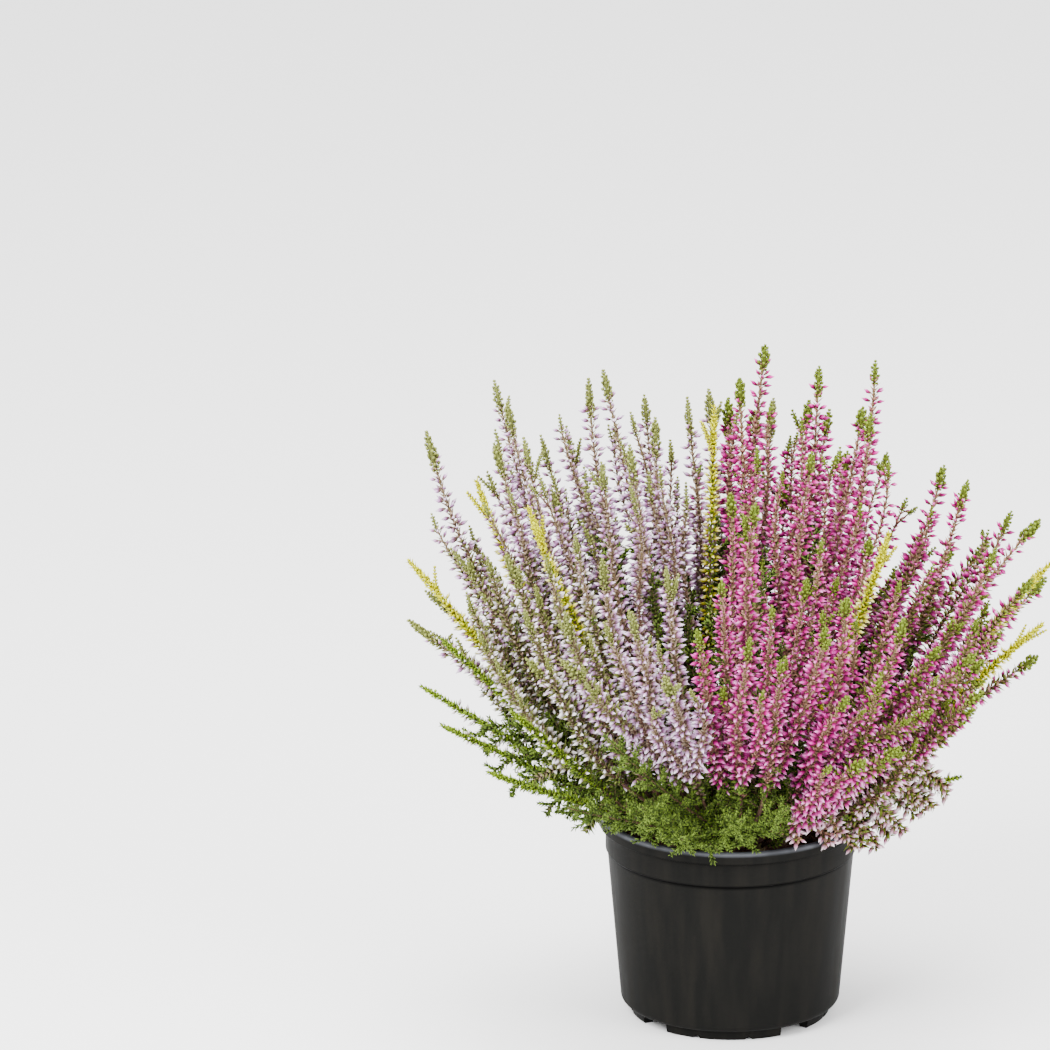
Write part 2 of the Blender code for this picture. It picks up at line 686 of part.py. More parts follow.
def main():
    clear_scene()
    collection = new_collection("potted_heather")
    branches = gathered(all_tips())
    crowns = crown_places(branches)
    draw = np.random.default_rng(BACK_SEED)
    lines = []
    rooms = []
    owner = []
    for number, (colour, tips) in enumerate(branches):
        for tip in tips:
            lines.append(shoot_line(crowns[number], tip, draw))
            rooms.append(room(colour))
            owner.append(number)
    owner = np.array(owner)
    lines = pushed_apart(np.array(lines), np.array(rooms), owner)
    surfaces = {colour: material(colour, 0.7) for colour in BRANCHES}
    counts = dict.fromkeys(BRANCHES, 0)
    for number, (colour, _) in enumerate(branches):
        counts[colour] += 1
        name = f"{colour}_branch_{counts[colour]:02d}"
        own = lines[owner == number]
        make_branch(name, colour, crowns[number], own, collection, surfaces[colour], draw)
    make_pot(collection)
    make_peat(collection, crowns)


main()
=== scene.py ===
"""The looks of a potted bud heather: fine buds, leaves, bark, peat and the moulded pot.

Every shape is worked out with numpy. A shoot is a line, by the same rule as in the solids, and
buds, leaves and stems are small templates or tubes carried along it.
"""

import math

import bpy
import numpy as np
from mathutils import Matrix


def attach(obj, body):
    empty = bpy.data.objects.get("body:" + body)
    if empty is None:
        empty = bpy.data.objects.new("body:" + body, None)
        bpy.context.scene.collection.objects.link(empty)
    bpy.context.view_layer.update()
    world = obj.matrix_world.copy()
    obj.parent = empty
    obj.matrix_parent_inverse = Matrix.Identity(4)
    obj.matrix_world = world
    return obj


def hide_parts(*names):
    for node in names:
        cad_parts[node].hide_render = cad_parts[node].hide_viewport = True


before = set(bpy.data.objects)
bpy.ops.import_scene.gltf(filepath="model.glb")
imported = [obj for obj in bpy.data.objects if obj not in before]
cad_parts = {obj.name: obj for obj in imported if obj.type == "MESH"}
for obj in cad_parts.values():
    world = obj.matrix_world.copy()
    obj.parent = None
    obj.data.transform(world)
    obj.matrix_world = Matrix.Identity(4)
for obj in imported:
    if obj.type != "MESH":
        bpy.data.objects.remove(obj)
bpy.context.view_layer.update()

MM = 0.001

# Sizes of the pot and the peat, as in the solids
RIM_RADIUS = 60.0 * MM
RIM_TOP = 95.3 * MM
RIM_UNDERSIDE = 89.5 * MM
GROOVE_RADIUS = 57.3 * MM
LEDGE_HEIGHT = 77.5 * MM
LEDGE_STEP = 0.9 * MM
WALL_FOOT_RADIUS = 50.1 * MM
WALL_FOOT_HEIGHT = 8.0 * MM
FOOT_HEIGHT = 4.8 * MM
FOOT_RADIUS = 45.4 * MM
FOOT_WIDTH = 4.6 * MM
FLOOR_TOP = 6.2 * MM
WALL = 1.2 * MM
INNER_FLOOR_RADIUS = 47.7 * MM
FEET = 4
FOOT_SPAN = math.radians(70.0)
FOOT_TURN = math.radians(-5.0)
NOTCH_TURN = math.radians(15.0)
NOTCH_RADIUS = 1.3 * MM
DRAIN_RADIUS = 4.0 * MM
DRAIN_CIRCLE = 31.0 * MM
PEAT_TOP = 86.0 * MM
POT_STEPS = 128
FOOT_STEPS = 72
DRAIN_STEPS = 24
PEAT_STEPS = 140
PEAT_RINGS = 44
PEAT_ROOM = 0.7 * MM
PEAT_FOOT = 3.0 * MM
CROWN_LEVELS = np.array([74.0, 80.0, 86.0, 89.0]) * MM
CROWN_RADII = np.array([1.7, 1.9, 2.0, 1.5]) * MM
CROWN_SPACING = 7.4 * MM
CROWN_CIRCLE = 38.5 * MM
CROWN_ROUNDS = 400
CROWN_PUSH = 0.4
CROWN_PIVOT = 60.0 * MM
CROWN_FULL_LEAN = math.radians(58.0)

# The photograph's view: how wide the picture is and where its middle lies beside the pot
VIEW_DISTANCE = 8.0
VIEW_WIDTH = 0.481
VIEW_ACROSS = -93.9 * MM
VIEW_RISE = 220.5 * MM
SENSOR = 36.0

# The dome of tips and the angle it is seen from, as in the solids
DOME_HALF = np.array([150.0, 122.0, 120.0]) * MM
DOME_MIDDLE = np.array([0.0, 0.0, 190.0]) * MM
SIGHT = math.radians(18.4)
VIEW_UP = np.array([0.0, math.sin(SIGHT), math.cos(SIGHT)])
VIEW_OUT = np.array([0.0, -math.cos(SIGHT), math.sin(SIGHT)])

# Tips of the front spikes in millimetres: across from the pot's axis, up from its foot as
# seen from the front, and how deep in the dome, 0 on its near side and 1 on its far side
PINK_TIPS = (
    (14, 302, 0.55), (5, 286, 0.35), (1, 277, 0.60), (41, 292, 0.50), (36, 277, 0.80),
    (65, 295, 0.55), (59, 273, 0.30), (35, 253, 0.15), (49, 254, 0.62), (25, 240, 0.70),
    (-2, 234, 0.22), (9, 230, 0.05), (6, 221, 0.45), (61, 214, 0.30), (32, 196, 0.12),
    (52, 187, 0.00), (41, 174, 0.00), (5, 170, 0.00), (-17, 173, 0.00), (77, 177, 0.00),
    (87, 214, 0.60), (97, 247, 0.55), (108, 240, 0.35), (120, 208, 0.25), (128, 226, 0.60),
    (141, 221, 0.50), (135, 197, 0.25), (109, 162, 0.00), (94, 162, 0.05), (109, 148, 0.00),
    (89, 135, 0.00), (52, 142, 0.00), (72, 123, 0.00), (58, 116, 0.00),
)
LILAC_TIPS = (
    (19, 278, 0.80), (-8, 282, 0.60), (-19, 278, 0.45), (-35, 269, 0.40), (-40, 279, 0.70),
    (-46, 256, 0.25), (-58, 290, 0.55), (-65, 287, 0.75), (-60, 248, 0.15), (-82, 237, 0.45),
    (-102, 276, 0.60), (-106, 286, 0.40), (-98, 259, 0.25), (-140, 262, 0.50),
    (-76, 181, 0.05), (-32, 201, 0.00), (-33, 152, 0.00), (-78, 160, 0.00), (-92, 160, 0.10),
    (-81, 186, 0.30), (-101, 207, 0.30), (-60, 205, 0.10), (-46, 181, 0.00),
)
GOLD_TIPS = (
    (70, 215, 0.20), (144, 202, 0.45), (139, 175, 0.20), (-8, 273, 0.42), (-92, 227, 0.20),
    (-115, 240, 0.50), (-146, 203, 0.50),
)
GREEN_TIPS = (
    (-132, 168, 0.30), (-140, 147, 0.40), (-131, 130, 0.20), (-110, 108, 0.10),
    (-59, 124, 0.00), (-75, 92, 0.00), (-40, 92, 0.00), (-22, 78, 0.00), (4, 86, 0.00),
    (24, 92, 0.00), (-100, 136, 0.10), (-8, 66, 0.00),
)
BACK_SEED = 5
BACK_SPIKES = 22
BACK_SHOOTS = 12
BACK_SHRINK = 0.97
PINK_FROM = -0.012
SKYLINE_ACROSS = np.array([-150.0, -130.0, -105.0, 0.0, 62.0, 80.0, 100.0, 150.0]) * MM
SKYLINE_UP = np.array([170.0, 205.0, 262.0, 272.0, 272.0, 208.0, 226.0, 190.0]) * MM
BRANCHES = {"pink": 22, "lilac": 16, "gold": 4, "green": 9}
SECTORS = 8
SAMPLES = 16
LEAST_RISE = math.radians(38.0)
LEAN_BEND = math.radians(17.0)
FULL_LEAN = 140.0 * MM
SWAY = 0.03
ROUNDS = 150
GAP = 0.9 * MM
PUSH = 0.75
VIEW_HOLD = 0.45
PEAT_REACH = 47.0 * MM
RIM_REACH = 70.0 * MM
HELD_ROOM = 0.9 * MM

# The looks of the shoots
LOOKS_SEED = 31
FLOWER_FROM = 0.30
WHORL_PITCH = 4.5 * MM
BUDS_A_WHORL = 6
BUD_LENGTH = 5.4 * MM
BUD_WIDTH = 2.3 * MM
BUD_FOOT = 1.0 * MM
DROOP = 0.14
BARE = {"pink": 0.14, "lilac": 0.2}
CLUB_LENGTH = {"pink": 12.0 * MM, "lilac": 17.5 * MM, "gold": 24.0 * MM, "green": 12.0 * MM}
CLUB_WIDTH = {"pink": 0.88, "lilac": 0.78, "gold": 0.62, "green": 0.6}
CLUB_CORE = 1.5 * MM
KNOB_FOOT = 1.3 * MM
KNOB_LENGTH = 2.4 * MM
KNOB_WIDTH = 1.9 * MM
LEAF_LENGTH = 2.6 * MM
LEAF_WIDTH = 1.15 * MM
LEAF_LEVEL = 1.5 * MM
SPARSE_LEVEL = 2.2 * MM
CLUB_LEVEL = 1.4 * MM
STEM_STATIONS = 22
STEM_END = 0.985
TWIN_STATIONS = 6
LEAF_RING = 3
CLUB_RING = 4
FORKS = {"pink": 1.22, "lilac": 1.8}
FORK_TURNS = 8
WAVE = 1.1 * MM
INNER_REACH = 0.6
OUTER_REACH = 95.0 * MM
RIM_ROOM = 1.5 * MM
INSIDE_RIM = 8.0 * MM
OUTSIDE_RIM = 2.0 * MM
SPRAY_ROOM = 5.0 * MM
SPRAY_PITCH = 3.6 * MM
GOLD_PITCH = 3.6 * MM
GOLD_LEVELS = 26
PARENT_SAMPLE = 4
SPRAY_BARE = {"pink": 0.08, "lilac": 0.4}
PALE_HIGH = 210.0 * MM
PALE_LOW = 130.0 * MM
SKIRT_INNER = 40.0 * MM
SKIRT_OUTER = 85.0 * MM
SKIRT_LOW = 125.0 * MM
SKIRT_HIGH = 225.0 * MM
SKIRT_RIGHT = 0.45
MOSS_LOW = 92.0 * MM
MOSS_HIGH = 112.0 * MM
MOSS_RIGHT = 28.0 * MM
MOSS_CORE = 0.8 * MM

# Where sprays that hang over the rim end, in millimetres; the green ones bear no flowers
PINK_SPRAYS = (
    (30, -54, 98), (44, -48, 96), (55, -42, 92), (66, -28, 87), (78, -32, 96), (92, -30, 107),
    (88, -10, 98), (72, 10, 90), (60, 36, 94), (30, 60, 96), (50, -30, 112), (70, -44, 108),
    (36, -50, 104), (48, -52, 102), (60, -42, 98), (60, -34, 90), (72, -36, 103), (72, -24, 91),
    (84, -36, 112), (84, -22, 100), (98, -36, 118), (98, -20, 109), (24, -56, 104), (40, -44, 112),
)
LILAC_SPRAYS = (
    (-66, -22, 93), (-92, -34, 118), (-50, 46, 96), (-70, 20, 100), (-22, 62, 98),
)
GREEN_SPRAYS = (
    (-92, -8, 108), (-84, -18, 101), (-76, -10, 99), (-74, -28, 102), (-66, -22, 98), (-64, -36, 103),
    (-56, -28, 99), (-52, -38, 101), (-44, -42, 98), (-38, -50, 100), (-30, -52, 97), (-24, -56, 100),
    (-15, -58, 98), (-6, -56, 101), (2, -60, 96), (10, -55, 100), (-118, -24, 138), (-108, -30, 124),
    (-100, -34, 116), (-112, -10, 128),
)

# Where flower spikes that arch low out of the skirt end, given like the tips above
ARCH_SHRINK = 0.94
LOW_ARCH = 165.0 * MM
PINK_ARCHES = (
    (118, 178, 0.20), (104, 140, 0.10), (118, 152, 0.30), (88, 120, 0.05), (100, 122, 0.20),
    (70, 150, 0.00), (124, 186, 0.45), (80, 196, 0.15), (18, 184, 0.00), (22, 158, 0.00),
    (-6, 196, 0.02), (42, 216, 0.05),
)
LILAC_ARCHES = (
    (-128, 190, 0.25), (-122, 172, 0.15), (-114, 158, 0.15), (-100, 182, 0.05), (-90, 160, 0.10),
    (-118, 207, 0.30), (-104, 142, 0.20), (-90, 208, 0.12), (-133, 168, 0.50), (-120, 146, 0.60),
    (-76, 218, 0.10),
)

# Display values from 0 to 255. Leaves: foot, middle and tip. Buds: calyx, then the deep, full
# and light colour of strong buds and of faded ones
LEAF_COLOURS = {
    "green_leaf": ((28, 36, 12), (66, 84, 26), (116, 140, 50)),
    "olive_leaf": ((72, 68, 36), (102, 108, 50), (132, 138, 72)),
    "fresh_leaf": ((62, 52, 16), (86, 98, 24), (108, 128, 34)),
    "gold_leaf": ((118, 108, 0), (176, 172, 0), (200, 206, 0)),
    "lime_leaf": ((64, 76, 8), (104, 128, 14), (140, 164, 36)),
    "rosy_bract": ((122, 78, 68), (154, 112, 96), (154, 128, 100)),
    "dusky_bract": ((118, 96, 82), (152, 130, 112), (158, 142, 116)),
}
BUD_COLOURS = {
    "pink_bud": (
        (104, 66, 56),
        ((104, 8, 56), (158, 0, 108), (226, 82, 182)),
        ((128, 34, 82), (188, 78, 152), (252, 216, 238)),
    ),
    "lilac_bud": (
        (106, 86, 72),
        ((104, 56, 84), (158, 98, 164), (226, 196, 234)),
        ((118, 86, 92), (190, 148, 188), (252, 246, 252)),
    ),
    "cream_bud": (
        (120, 116, 30),
        ((150, 144, 4), (196, 186, 30), (236, 230, 140)),
        ((160, 152, 40), (212, 204, 90), (250, 246, 200)),
    ),
    "blush_bud": (
        (112, 104, 62),
        ((128, 48, 84), (178, 90, 140), (236, 196, 216)),
        ((140, 112, 92), (206, 168, 184), (255, 250, 246)),
    ),
    "white_bud": (
        (112, 110, 66),
        ((110, 78, 92), (168, 124, 168), (232, 214, 236)),
        ((132, 122, 96), (206, 196, 200), (255, 253, 250)),
    ),
}
LEAF_SHEEN = 0.12
GOLD_SHEEN = 0.03

# What each colour's pieces wear, in the order of these material numbers
BARK, LEAVES, CLUB, BUDS, BRACTS, PALE_BUDS = range(6)
SKINS = {
    "pink": ("bark", "green_leaf", "fresh_leaf", "pink_bud", "rosy_bract", "blush_bud"),
    "lilac": ("bark", "green_leaf", "olive_leaf", "lilac_bud", "dusky_bract", "white_bud"),
    "gold": ("bark", "green_leaf", "gold_leaf", "cream_bud", "lime_leaf"),
    "green": ("bark", "green_leaf", "lime_leaf", "white_bud", "green_leaf"),
}


def on_dome(across, seen, depth):
    """Where a line of sight meets the dome: depth 0 at its near meeting, 1 at its far one."""
    start = np.array([across, 0.0, 0.0]) + seen * VIEW_UP
    a = np.sum((VIEW_OUT / DOME_HALF) ** 2)
    b = np.sum((start - DOME_MIDDLE) * VIEW_OUT / DOME_HALF**2)
    c = np.sum(((start - DOME_MIDDLE) / DOME_HALF) ** 2) - 1.0
    half = math.sqrt(max(0.0, b * b - a * c)) / a
    return start + (-b / a + half * (1.0 - 2.0 * depth)) * VIEW_OUT


def back_tips(count, low, high, draw):
    """Tips on the far side of the dome, evenly round it, kept under the front's skyline."""
    tips = []
    golden = math.pi * (3.0 - math.sqrt(5.0))
    for number in range(count):
        share = (number + 0.5) / count
        rise = low + (high - low) * share
        turn = (number * golden + draw.uniform(-0.2, 0.2)) % math.pi
        level = math.sqrt(1.0 - rise * rise)
        tip = DOME_MIDDLE + BACK_SHRINK * DOME_HALF * np.array(
            [level * math.cos(turn), level * math.sin(turn), rise]
        )
        over = tip @ VIEW_UP - np.interp(tip[0], SKYLINE_ACROSS, SKYLINE_UP)
        if over > 0:
            tip[2] -= over / VIEW_UP[2]
        tips.append(tip)
    return tips


def all_tips():
    """Every shoot's colour and tip."""
    draw = np.random.default_rng(BACK_SEED)
    tips = []
    for colour, listed in (
        ("pink", PINK_TIPS),
        ("lilac", LILAC_TIPS),
        ("gold", GOLD_TIPS),
        ("green", GREEN_TIPS),
    ):
        tips += [(colour, on_dome(x * MM, seen * MM, depth)) for x, seen, depth in listed]
    for tip in back_tips(BACK_SPIKES, -0.25, 0.93, draw):
        tips.append(("pink" if tip[0] > PINK_FROM else "lilac", tip))
    for tip in back_tips(BACK_SHOOTS, -0.85, -0.45, draw):
        tips.append(("green", tip))
    return tips


def gathered(tips):
    """Branches of neighbouring shoots, out and in by turns through sectors round the axis."""
    branches = []
    for colour, count in BRANCHES.items():
        own = [tip for kind, tip in tips if kind == colour]
        keys = []
        for tip in own:
            turn = (math.atan2(tip[1], tip[0]) + math.pi) / math.tau
            sector = int(turn * SECTORS) % SECTORS
            reach = math.hypot(tip[0], tip[1])
            keys.append((sector, reach if sector % 2 else -reach))
        order = sorted(range(len(own)), key=lambda i: keys[i])
        for part in np.array_split(order, count):
            branches.append((colour, [own[i] for i in part]))
    return branches


def crown_places(branches):
    """A place in the peat for each branch, further out the lower it leans."""
    spots = []
    for _, tips in branches:
        middle = np.mean(tips, axis=0)
        reach = math.hypot(middle[0], middle[1])
        lean = math.atan2(reach, middle[2] - CROWN_PIVOT)
        spots.append(middle[:2] / reach * CROWN_CIRCLE * min(1.0, lean / CROWN_FULL_LEAN))
    spots = np.array(spots)
    for _ in range(CROWN_ROUNDS):
        apart = spots[:, None] - spots[None]
        far = np.linalg.norm(apart, axis=2)
        np.fill_diagonal(far, 1.0)
        short = np.clip(CROWN_SPACING - far, 0.0, None)
        push = np.sum(apart / far[..., None] * short[..., None], axis=1)
        spots = spots + CROWN_PUSH * push
        reach = np.linalg.norm(spots, axis=1)
        spots = spots * np.minimum(1.0, CROWN_CIRCLE / np.maximum(reach, MM))[:, None]
    return spots


def shoot_line(crown, tip, draw):
    """Points along a cubic curve that leaves the crown low and turns up towards the tip."""
    start = np.array([crown[0], crown[1], PEAT_TOP + 1.5 * MM])
    run = np.array([tip[0] - start[0], tip[1] - start[1], 0.0])
    level = np.linalg.norm(run)
    away = run / level
    length = np.linalg.norm(tip - start)
    chord = math.atan2(tip[2] - start[2], level)
    bend = LEAN_BEND * min(1.0, math.hypot(tip[0], tip[1]) / FULL_LEAN)
    first = max(chord - bend, LEAST_RISE)
    last = chord + bend if chord - bend > LEAST_RISE else chord
    up = np.array([0.0, 0.0, 1.0])
    side = np.cross(up, away) * draw.uniform(-SWAY, SWAY) * length
    second = start + 0.36 * length * (math.cos(first) * away + math.sin(first) * up) + side
    third = tip - 0.38 * length * (math.cos(last) * away + math.sin(last) * up) + side
    s = np.linspace(0.0, 1.0, SAMPLES)[:, None]
    near = (1 - s) ** 3 * start + 3 * s * (1 - s) ** 2 * second
    return near + 3 * s**2 * (1 - s) * third + s**3 * tip


def room(colour):
    """The radius that a shoot needs at each of its samples."""
    s = np.linspace(0.0, 1.0, SAMPLES)
    if colour == "green":
        return np.interp(s, [0.0, 0.07, 0.15, 0.22, 0.95, 1.0], [2.3, 1.8, 2.2, 4.0, 4.0, 2.0]) * MM
    if colour == "gold":
        return np.interp(s, [0.0, 0.07, 0.3, 0.4, 0.95, 1.0], [2.8, 2.6, 2.6, 3.5, 3.4, 2.0]) * MM
    shares = [0.0, 0.07, 0.28, 0.36, 0.86, 0.94, 1.0]
    return np.interp(s, shares, [2.3, 1.8, 2.3, 5.2, 5.0, 3.0, 2.0]) * MM


def nearest_between(a0, a1, b0, b1):
    """Shares along two rows of segments at which each pair is nearest."""
    u = a1 - a0
    v = b1 - b0
    w = a0 - b0
    uu = np.sum(u * u, axis=1)
    vv = np.sum(v * v, axis=1)
    uv = np.sum(u * v, axis=1)
    uw = np.sum(u * w, axis=1)
    vw = np.sum(v * w, axis=1)
    s = np.clip((uv * vw - vv * uw) / np.maximum(uu * vv - uv * uv, 1e-16), 0.0, 1.0)
    t = np.clip((uv * s + vw) / np.maximum(vv, 1e-16), 0.0, 1.0)
    s = np.clip((uv * t - uw) / np.maximum(uu, 1e-16), 0.0, 1.0)
    return s[:, None], t[:, None]


def held_above(lines, rooms):
    """Samples lifted clear of the peat and of the pot's rim."""
    reach = np.hypot(lines[..., 0], lines[..., 1])
    floor = np.where(reach < PEAT_REACH, PEAT_TOP + HELD_ROOM, RIM_TOP + HELD_ROOM) + rooms
    over = (reach < RIM_REACH) & (lines[..., 2] < floor)
    over[:, :2] = False
    lines[..., 2] = np.where(over, floor, lines[..., 2])
    return lines


def pushed_apart(lines, rooms, owner):
    """Shoots moved off each other, less across the front view than in depth."""
    free = np.clip(np.linspace(0.0, 8.0, SAMPLES), 0.0, 1.0)
    still = lines.copy()
    shoot = np.repeat(np.arange(len(lines)), SAMPLES - 1)
    place = np.tile(np.arange(SAMPLES - 1), len(lines))
    same = owner[shoot][:, None] == owner[shoot][None]
    allowed = np.triu(shoot[:, None] != shoot[None], 1)
    allowed &= ~(same & ((place[:, None] < 3) | (place[None] < 3)))
    segment_room = np.maximum(rooms[shoot, place], rooms[shoot, place + 1])
    for _ in range(ROUNDS):
        a = lines[shoot, place]
        b = lines[shoot, place + 1]
        middle = (0.5 * (a + b)).astype(np.float32)
        half = 0.5 * np.linalg.norm(b - a, axis=1)
        square = np.sum(middle * middle, axis=1)
        far2 = square[:, None] + square[None] - 2.0 * middle @ middle.T
        limit = (half[:, None] + half[None]) + segment_room[:, None] + segment_room[None] + GAP
        first, second = np.nonzero(allowed & (far2 < limit**2))
        s, t = nearest_between(a[first], b[first], a[second], b[second])
        gap = (a[first] + s * (b - a)[first]) - (a[second] + t * (b - a)[second])
        far = np.linalg.norm(gap, axis=1)[:, None]
        need = rooms[shoot[first], place[first]][:, None] * (1 - s)
        need = need + rooms[shoot[first], place[first] + 1][:, None] * s
        need = need + rooms[shoot[second], place[second]][:, None] * (1 - t)
        need = need + rooms[shoot[second], place[second] + 1][:, None] * t + GAP
        short = np.clip(need - far, 0.0, None)
        step = PUSH * 0.5 * short * gap / np.maximum(far, 0.01 * MM)
        moved = np.zeros_like(lines)
        np.add.at(moved, (shoot[first], place[first]), step * (1 - s))
        np.add.at(moved, (shoot[first], place[first] + 1), step * s)
        np.add.at(moved, (shoot[second], place[second]), -step * (1 - t))
        np.add.at(moved, (shoot[second], place[second] + 1), -step * t)
        out = moved @ VIEW_OUT
        moved = VIEW_HOLD * moved + (1 - VIEW_HOLD) * out[..., None] * VIEW_OUT
        drift = lines + moved * free[:, None] - still
        even = drift.copy()
        even[:, 1:-1] = 0.5 * drift[:, 1:-1] + 0.25 * (drift[:, :-2] + drift[:, 2:])
        even[:, -1] = 0.5 * (drift[:, -1] + drift[:, -2])
        lines = still + even
        lines[:, 0] = still[:, 0]
        lines = held_above(lines, rooms)
    return lines


def along(line, shares):
    """Points and directions at shares of a line, on a smooth curve through its samples."""
    step = np.linalg.norm(np.diff(line, axis=0), axis=1)
    place = np.concatenate([[0.0], np.cumsum(step)])
    slopes = np.gradient(line, place, axis=0)
    want = np.asarray(shares) * place[-1]
    low = np.clip(np.searchsorted(place, want, side="right") - 1, 0, len(line) - 2)
    span = (place[low + 1] - place[low])[:, None]
    t = (want - place[low])[:, None] / span
    points = (
        (2 * t**3 - 3 * t**2 + 1) * line[low]
        + (t**3 - 2 * t**2 + t) * span * slopes[low]
        + (3 * t**2 - 2 * t**3) * line[low + 1]
        + (t**3 - t**2) * span * slopes[low + 1]
    )
    ahead = (1 - t) * slopes[low] + t * slopes[low + 1]
    return points, unit(ahead)


def length_of(line):
    """The length of a line through its samples."""
    return np.cumsum(np.linalg.norm(np.diff(line, axis=0), axis=1))[-1]


def unit(rows):
    """Directions of length 1."""
    return rows / np.maximum(np.linalg.norm(rows, axis=-1, keepdims=True), 1e-12)


def across_of(ahead):
    """Two directions square to each direction in a row."""
    up = np.array([0.0, 0.0, 1.0])
    east = np.array([1.0, 0.0, 0.0])
    steep = np.abs(ahead @ up)[..., None] > 0.9
    side = unit(np.cross(ahead, np.where(steep, east, up)))
    return side, np.cross(ahead, side)


def round_stem(turn, side, other):
    """Directions at the given turns round a stem, from two directions square to it."""
    return np.cos(turn) * side + np.sin(turn) * other


def skin_between(rings, size):
    """Two triangles for each step between neighbouring closed rings of as many points each."""
    near = np.arange(size)
    far = (near + 1) % size
    ring = (np.arange(rings - 1) * size)[:, None]
    first = np.stack([ring + near, ring + far, ring + far + size], axis=-1)
    second = np.stack([ring + near, ring + far + size, ring + near + size], axis=-1)
    return np.concatenate([first.reshape(-1, 3), second.reshape(-1, 3)])


def closed_skin(rings, size, foot, tip, first=0):
    """Triangles of a body of closed rings, numbered from first, between a foot and a tip point."""
    near = np.arange(size)
    far = (near + 1) % size
    last = (rings - 1) * size
    low = np.stack([far, near, np.full(size, foot - first)], axis=1)
    high = np.stack([last + near, last + far, np.full(size, tip - first)], axis=1)
    return first + np.concatenate([skin_between(rings, size), low, high])


def spindle(sides, stations, radii):
    """A closed pointed body along x: rings of the given radii at the stations between 0 and 1."""
    turn = np.arange(sides) * math.tau / sides
    rings = [
        np.stack([np.full(sides, x), r * np.cos(turn), r * np.sin(turn)], axis=1)
        for x, r in zip(stations, radii)
    ]
    verts = np.concatenate([[[0.0, 0.0, 0.0]], *rings, [[1.0, 0.0, 0.0]]])
    return verts, closed_skin(len(stations), sides, 0, len(verts) - 1, 1)


BUD = spindle(3, (0.22, 0.55), (0.68, 1.0))
KNOB = spindle(4, (0.3, 0.72), (0.9, 0.85))
LEAF = (
    np.array([[0.0, 0.0, 0.0], [0.4, 1.0, 0.5], [0.4, -1.0, 0.5], [1.0, 0.0, 0.0]]),
    np.array([[0, 2, 1], [3, 1, 2], [0, 1, 3], [0, 3, 2]]),
)


class Growth:
    """Gathers one piece: points, triangles, material numbers and three attributes a point."""

    def __init__(self):
        self.parts = []
        self.count = 0

    def add(self, points, faces, kind, along_it, tint, pale):
        """More points and triangles of one material, with the attributes of each point."""
        kinds = np.full(len(faces), kind)
        self.parts.append((points, faces + self.count, kinds, along_it, tint, pale))
        self.count += len(points)

    def add_plain(self, points, faces):
        """Faces of a piece that has one material, which reads none of the attributes."""
        blank = np.zeros(len(points))
        self.add(points, faces, 0, blank, blank, blank)

    def place(self, template, feet, ahead, side, size, kind, tint, pale):
        """A copy of the template at each foot: x along ahead, y along side, z square to both.

        size holds the length, half width and half depth of each copy.
        """
        verts, faces = template
        length, width, depth = size
        other = np.cross(ahead, side)
        points = (
            feet[:, None]
            + verts[None, :, 0, None] * (length[:, None] * ahead)[:, None]
            + verts[None, :, 1, None] * (width[:, None] * side)[:, None]
            + verts[None, :, 2, None] * (depth[:, None] * other)[:, None]
        )
        count, each = points.shape[:2]
        moved = faces[None] + (np.arange(count) * each)[:, None, None]
        share = np.tile(verts[:, 0], count)
        tint = np.repeat(tint, each)
        pale = np.repeat(pale, each)
        self.add(points.reshape(-1, 3), moved.reshape(-1, 3), kind, share, tint, pale)

    def tubes(self, lines, radii, sides, kind, tint):
        """Rings of the given radii carried along each line, closed by a point at each end.

        lines has the shape (tubes, stations, 3); radii has one value a station.
        """
        number, count = lines.shape[:2]
        ahead = unit(np.gradient(lines, axis=1))
        side, other = across_of(ahead)
        turn = (np.arange(sides) * math.tau / sides)[:, None]
        out = round_stem(turn, side[:, :, None], other[:, :, None])
        rings = lines[:, :, None] + radii[:, None, None] * out
        points = np.concatenate(
            [rings.reshape(number, count * sides, 3), lines[:, :1], lines[:, -1:]], axis=1
        )
        faces = closed_skin(count, sides, count * sides, count * sides + 1)
        size = points.shape[1]
        moved = faces[None] + (np.arange(number) * size)[:, None, None]
        share = np.concatenate([np.repeat(np.linspace(0.0, 1.0, count), sides), [0.0, 1.0]])
        share = np.tile(share, number)
        tint = np.repeat(tint, size)
        pale = np.zeros(number * size)
        self.add(points.reshape(-1, 3), moved.reshape(-1, 3), kind, share, tint, pale)

    def piece(self, name, materials):
        """The object made of all that was added."""
        points, faces, kinds, *values = [np.concatenate(column) for column in zip(*self.parts)]
        made = mesh_piece(name, points, faces, materials)
        made.data.polygons.foreach_set("material_index", kinds)
        for label, value in zip(("along", "tint", "pale"), values):
            layer = made.data.attributes.new(label, "FLOAT", "POINT")
            layer.data.foreach_set("value", value.astype(np.float32))
        made.data.update()
        return made


def mesh_piece(name, points, faces, materials, smooth=True):
    """One mesh object at the origin from arrays of points and triangles."""
    mesh = bpy.data.meshes.new(name)
    mesh.vertices.add(len(points))
    mesh.vertices.foreach_set("co", np.asarray(points, np.float32).ravel())
    mesh.loops.add(faces.size)
    mesh.loops.foreach_set("vertex_index", faces.ravel().astype(np.int32))
    mesh.polygons.add(len(faces))
    mesh.polygons.foreach_set("loop_start", np.arange(0, faces.size, 3, dtype=np.int32))
    mesh.polygons.foreach_set("use_smooth", np.full(len(faces), smooth))
    mesh.update(calc_edges=True)
    for surface in materials:
        mesh.materials.append(surface)
    made = bpy.data.objects.new(name, mesh)
    bpy.context.scene.collection.objects.link(made)
    return made


def srgb(red, green, blue):
    """A colour given in display values from 0 to 255, as linear light."""
    values = np.array([red, green, blue]) / 255.0
    linear = np.where(values <= 0.04045, values / 12.92, ((values + 0.055) / 1.055) ** 2.4)
    return (*linear.tolist(), 1.0)


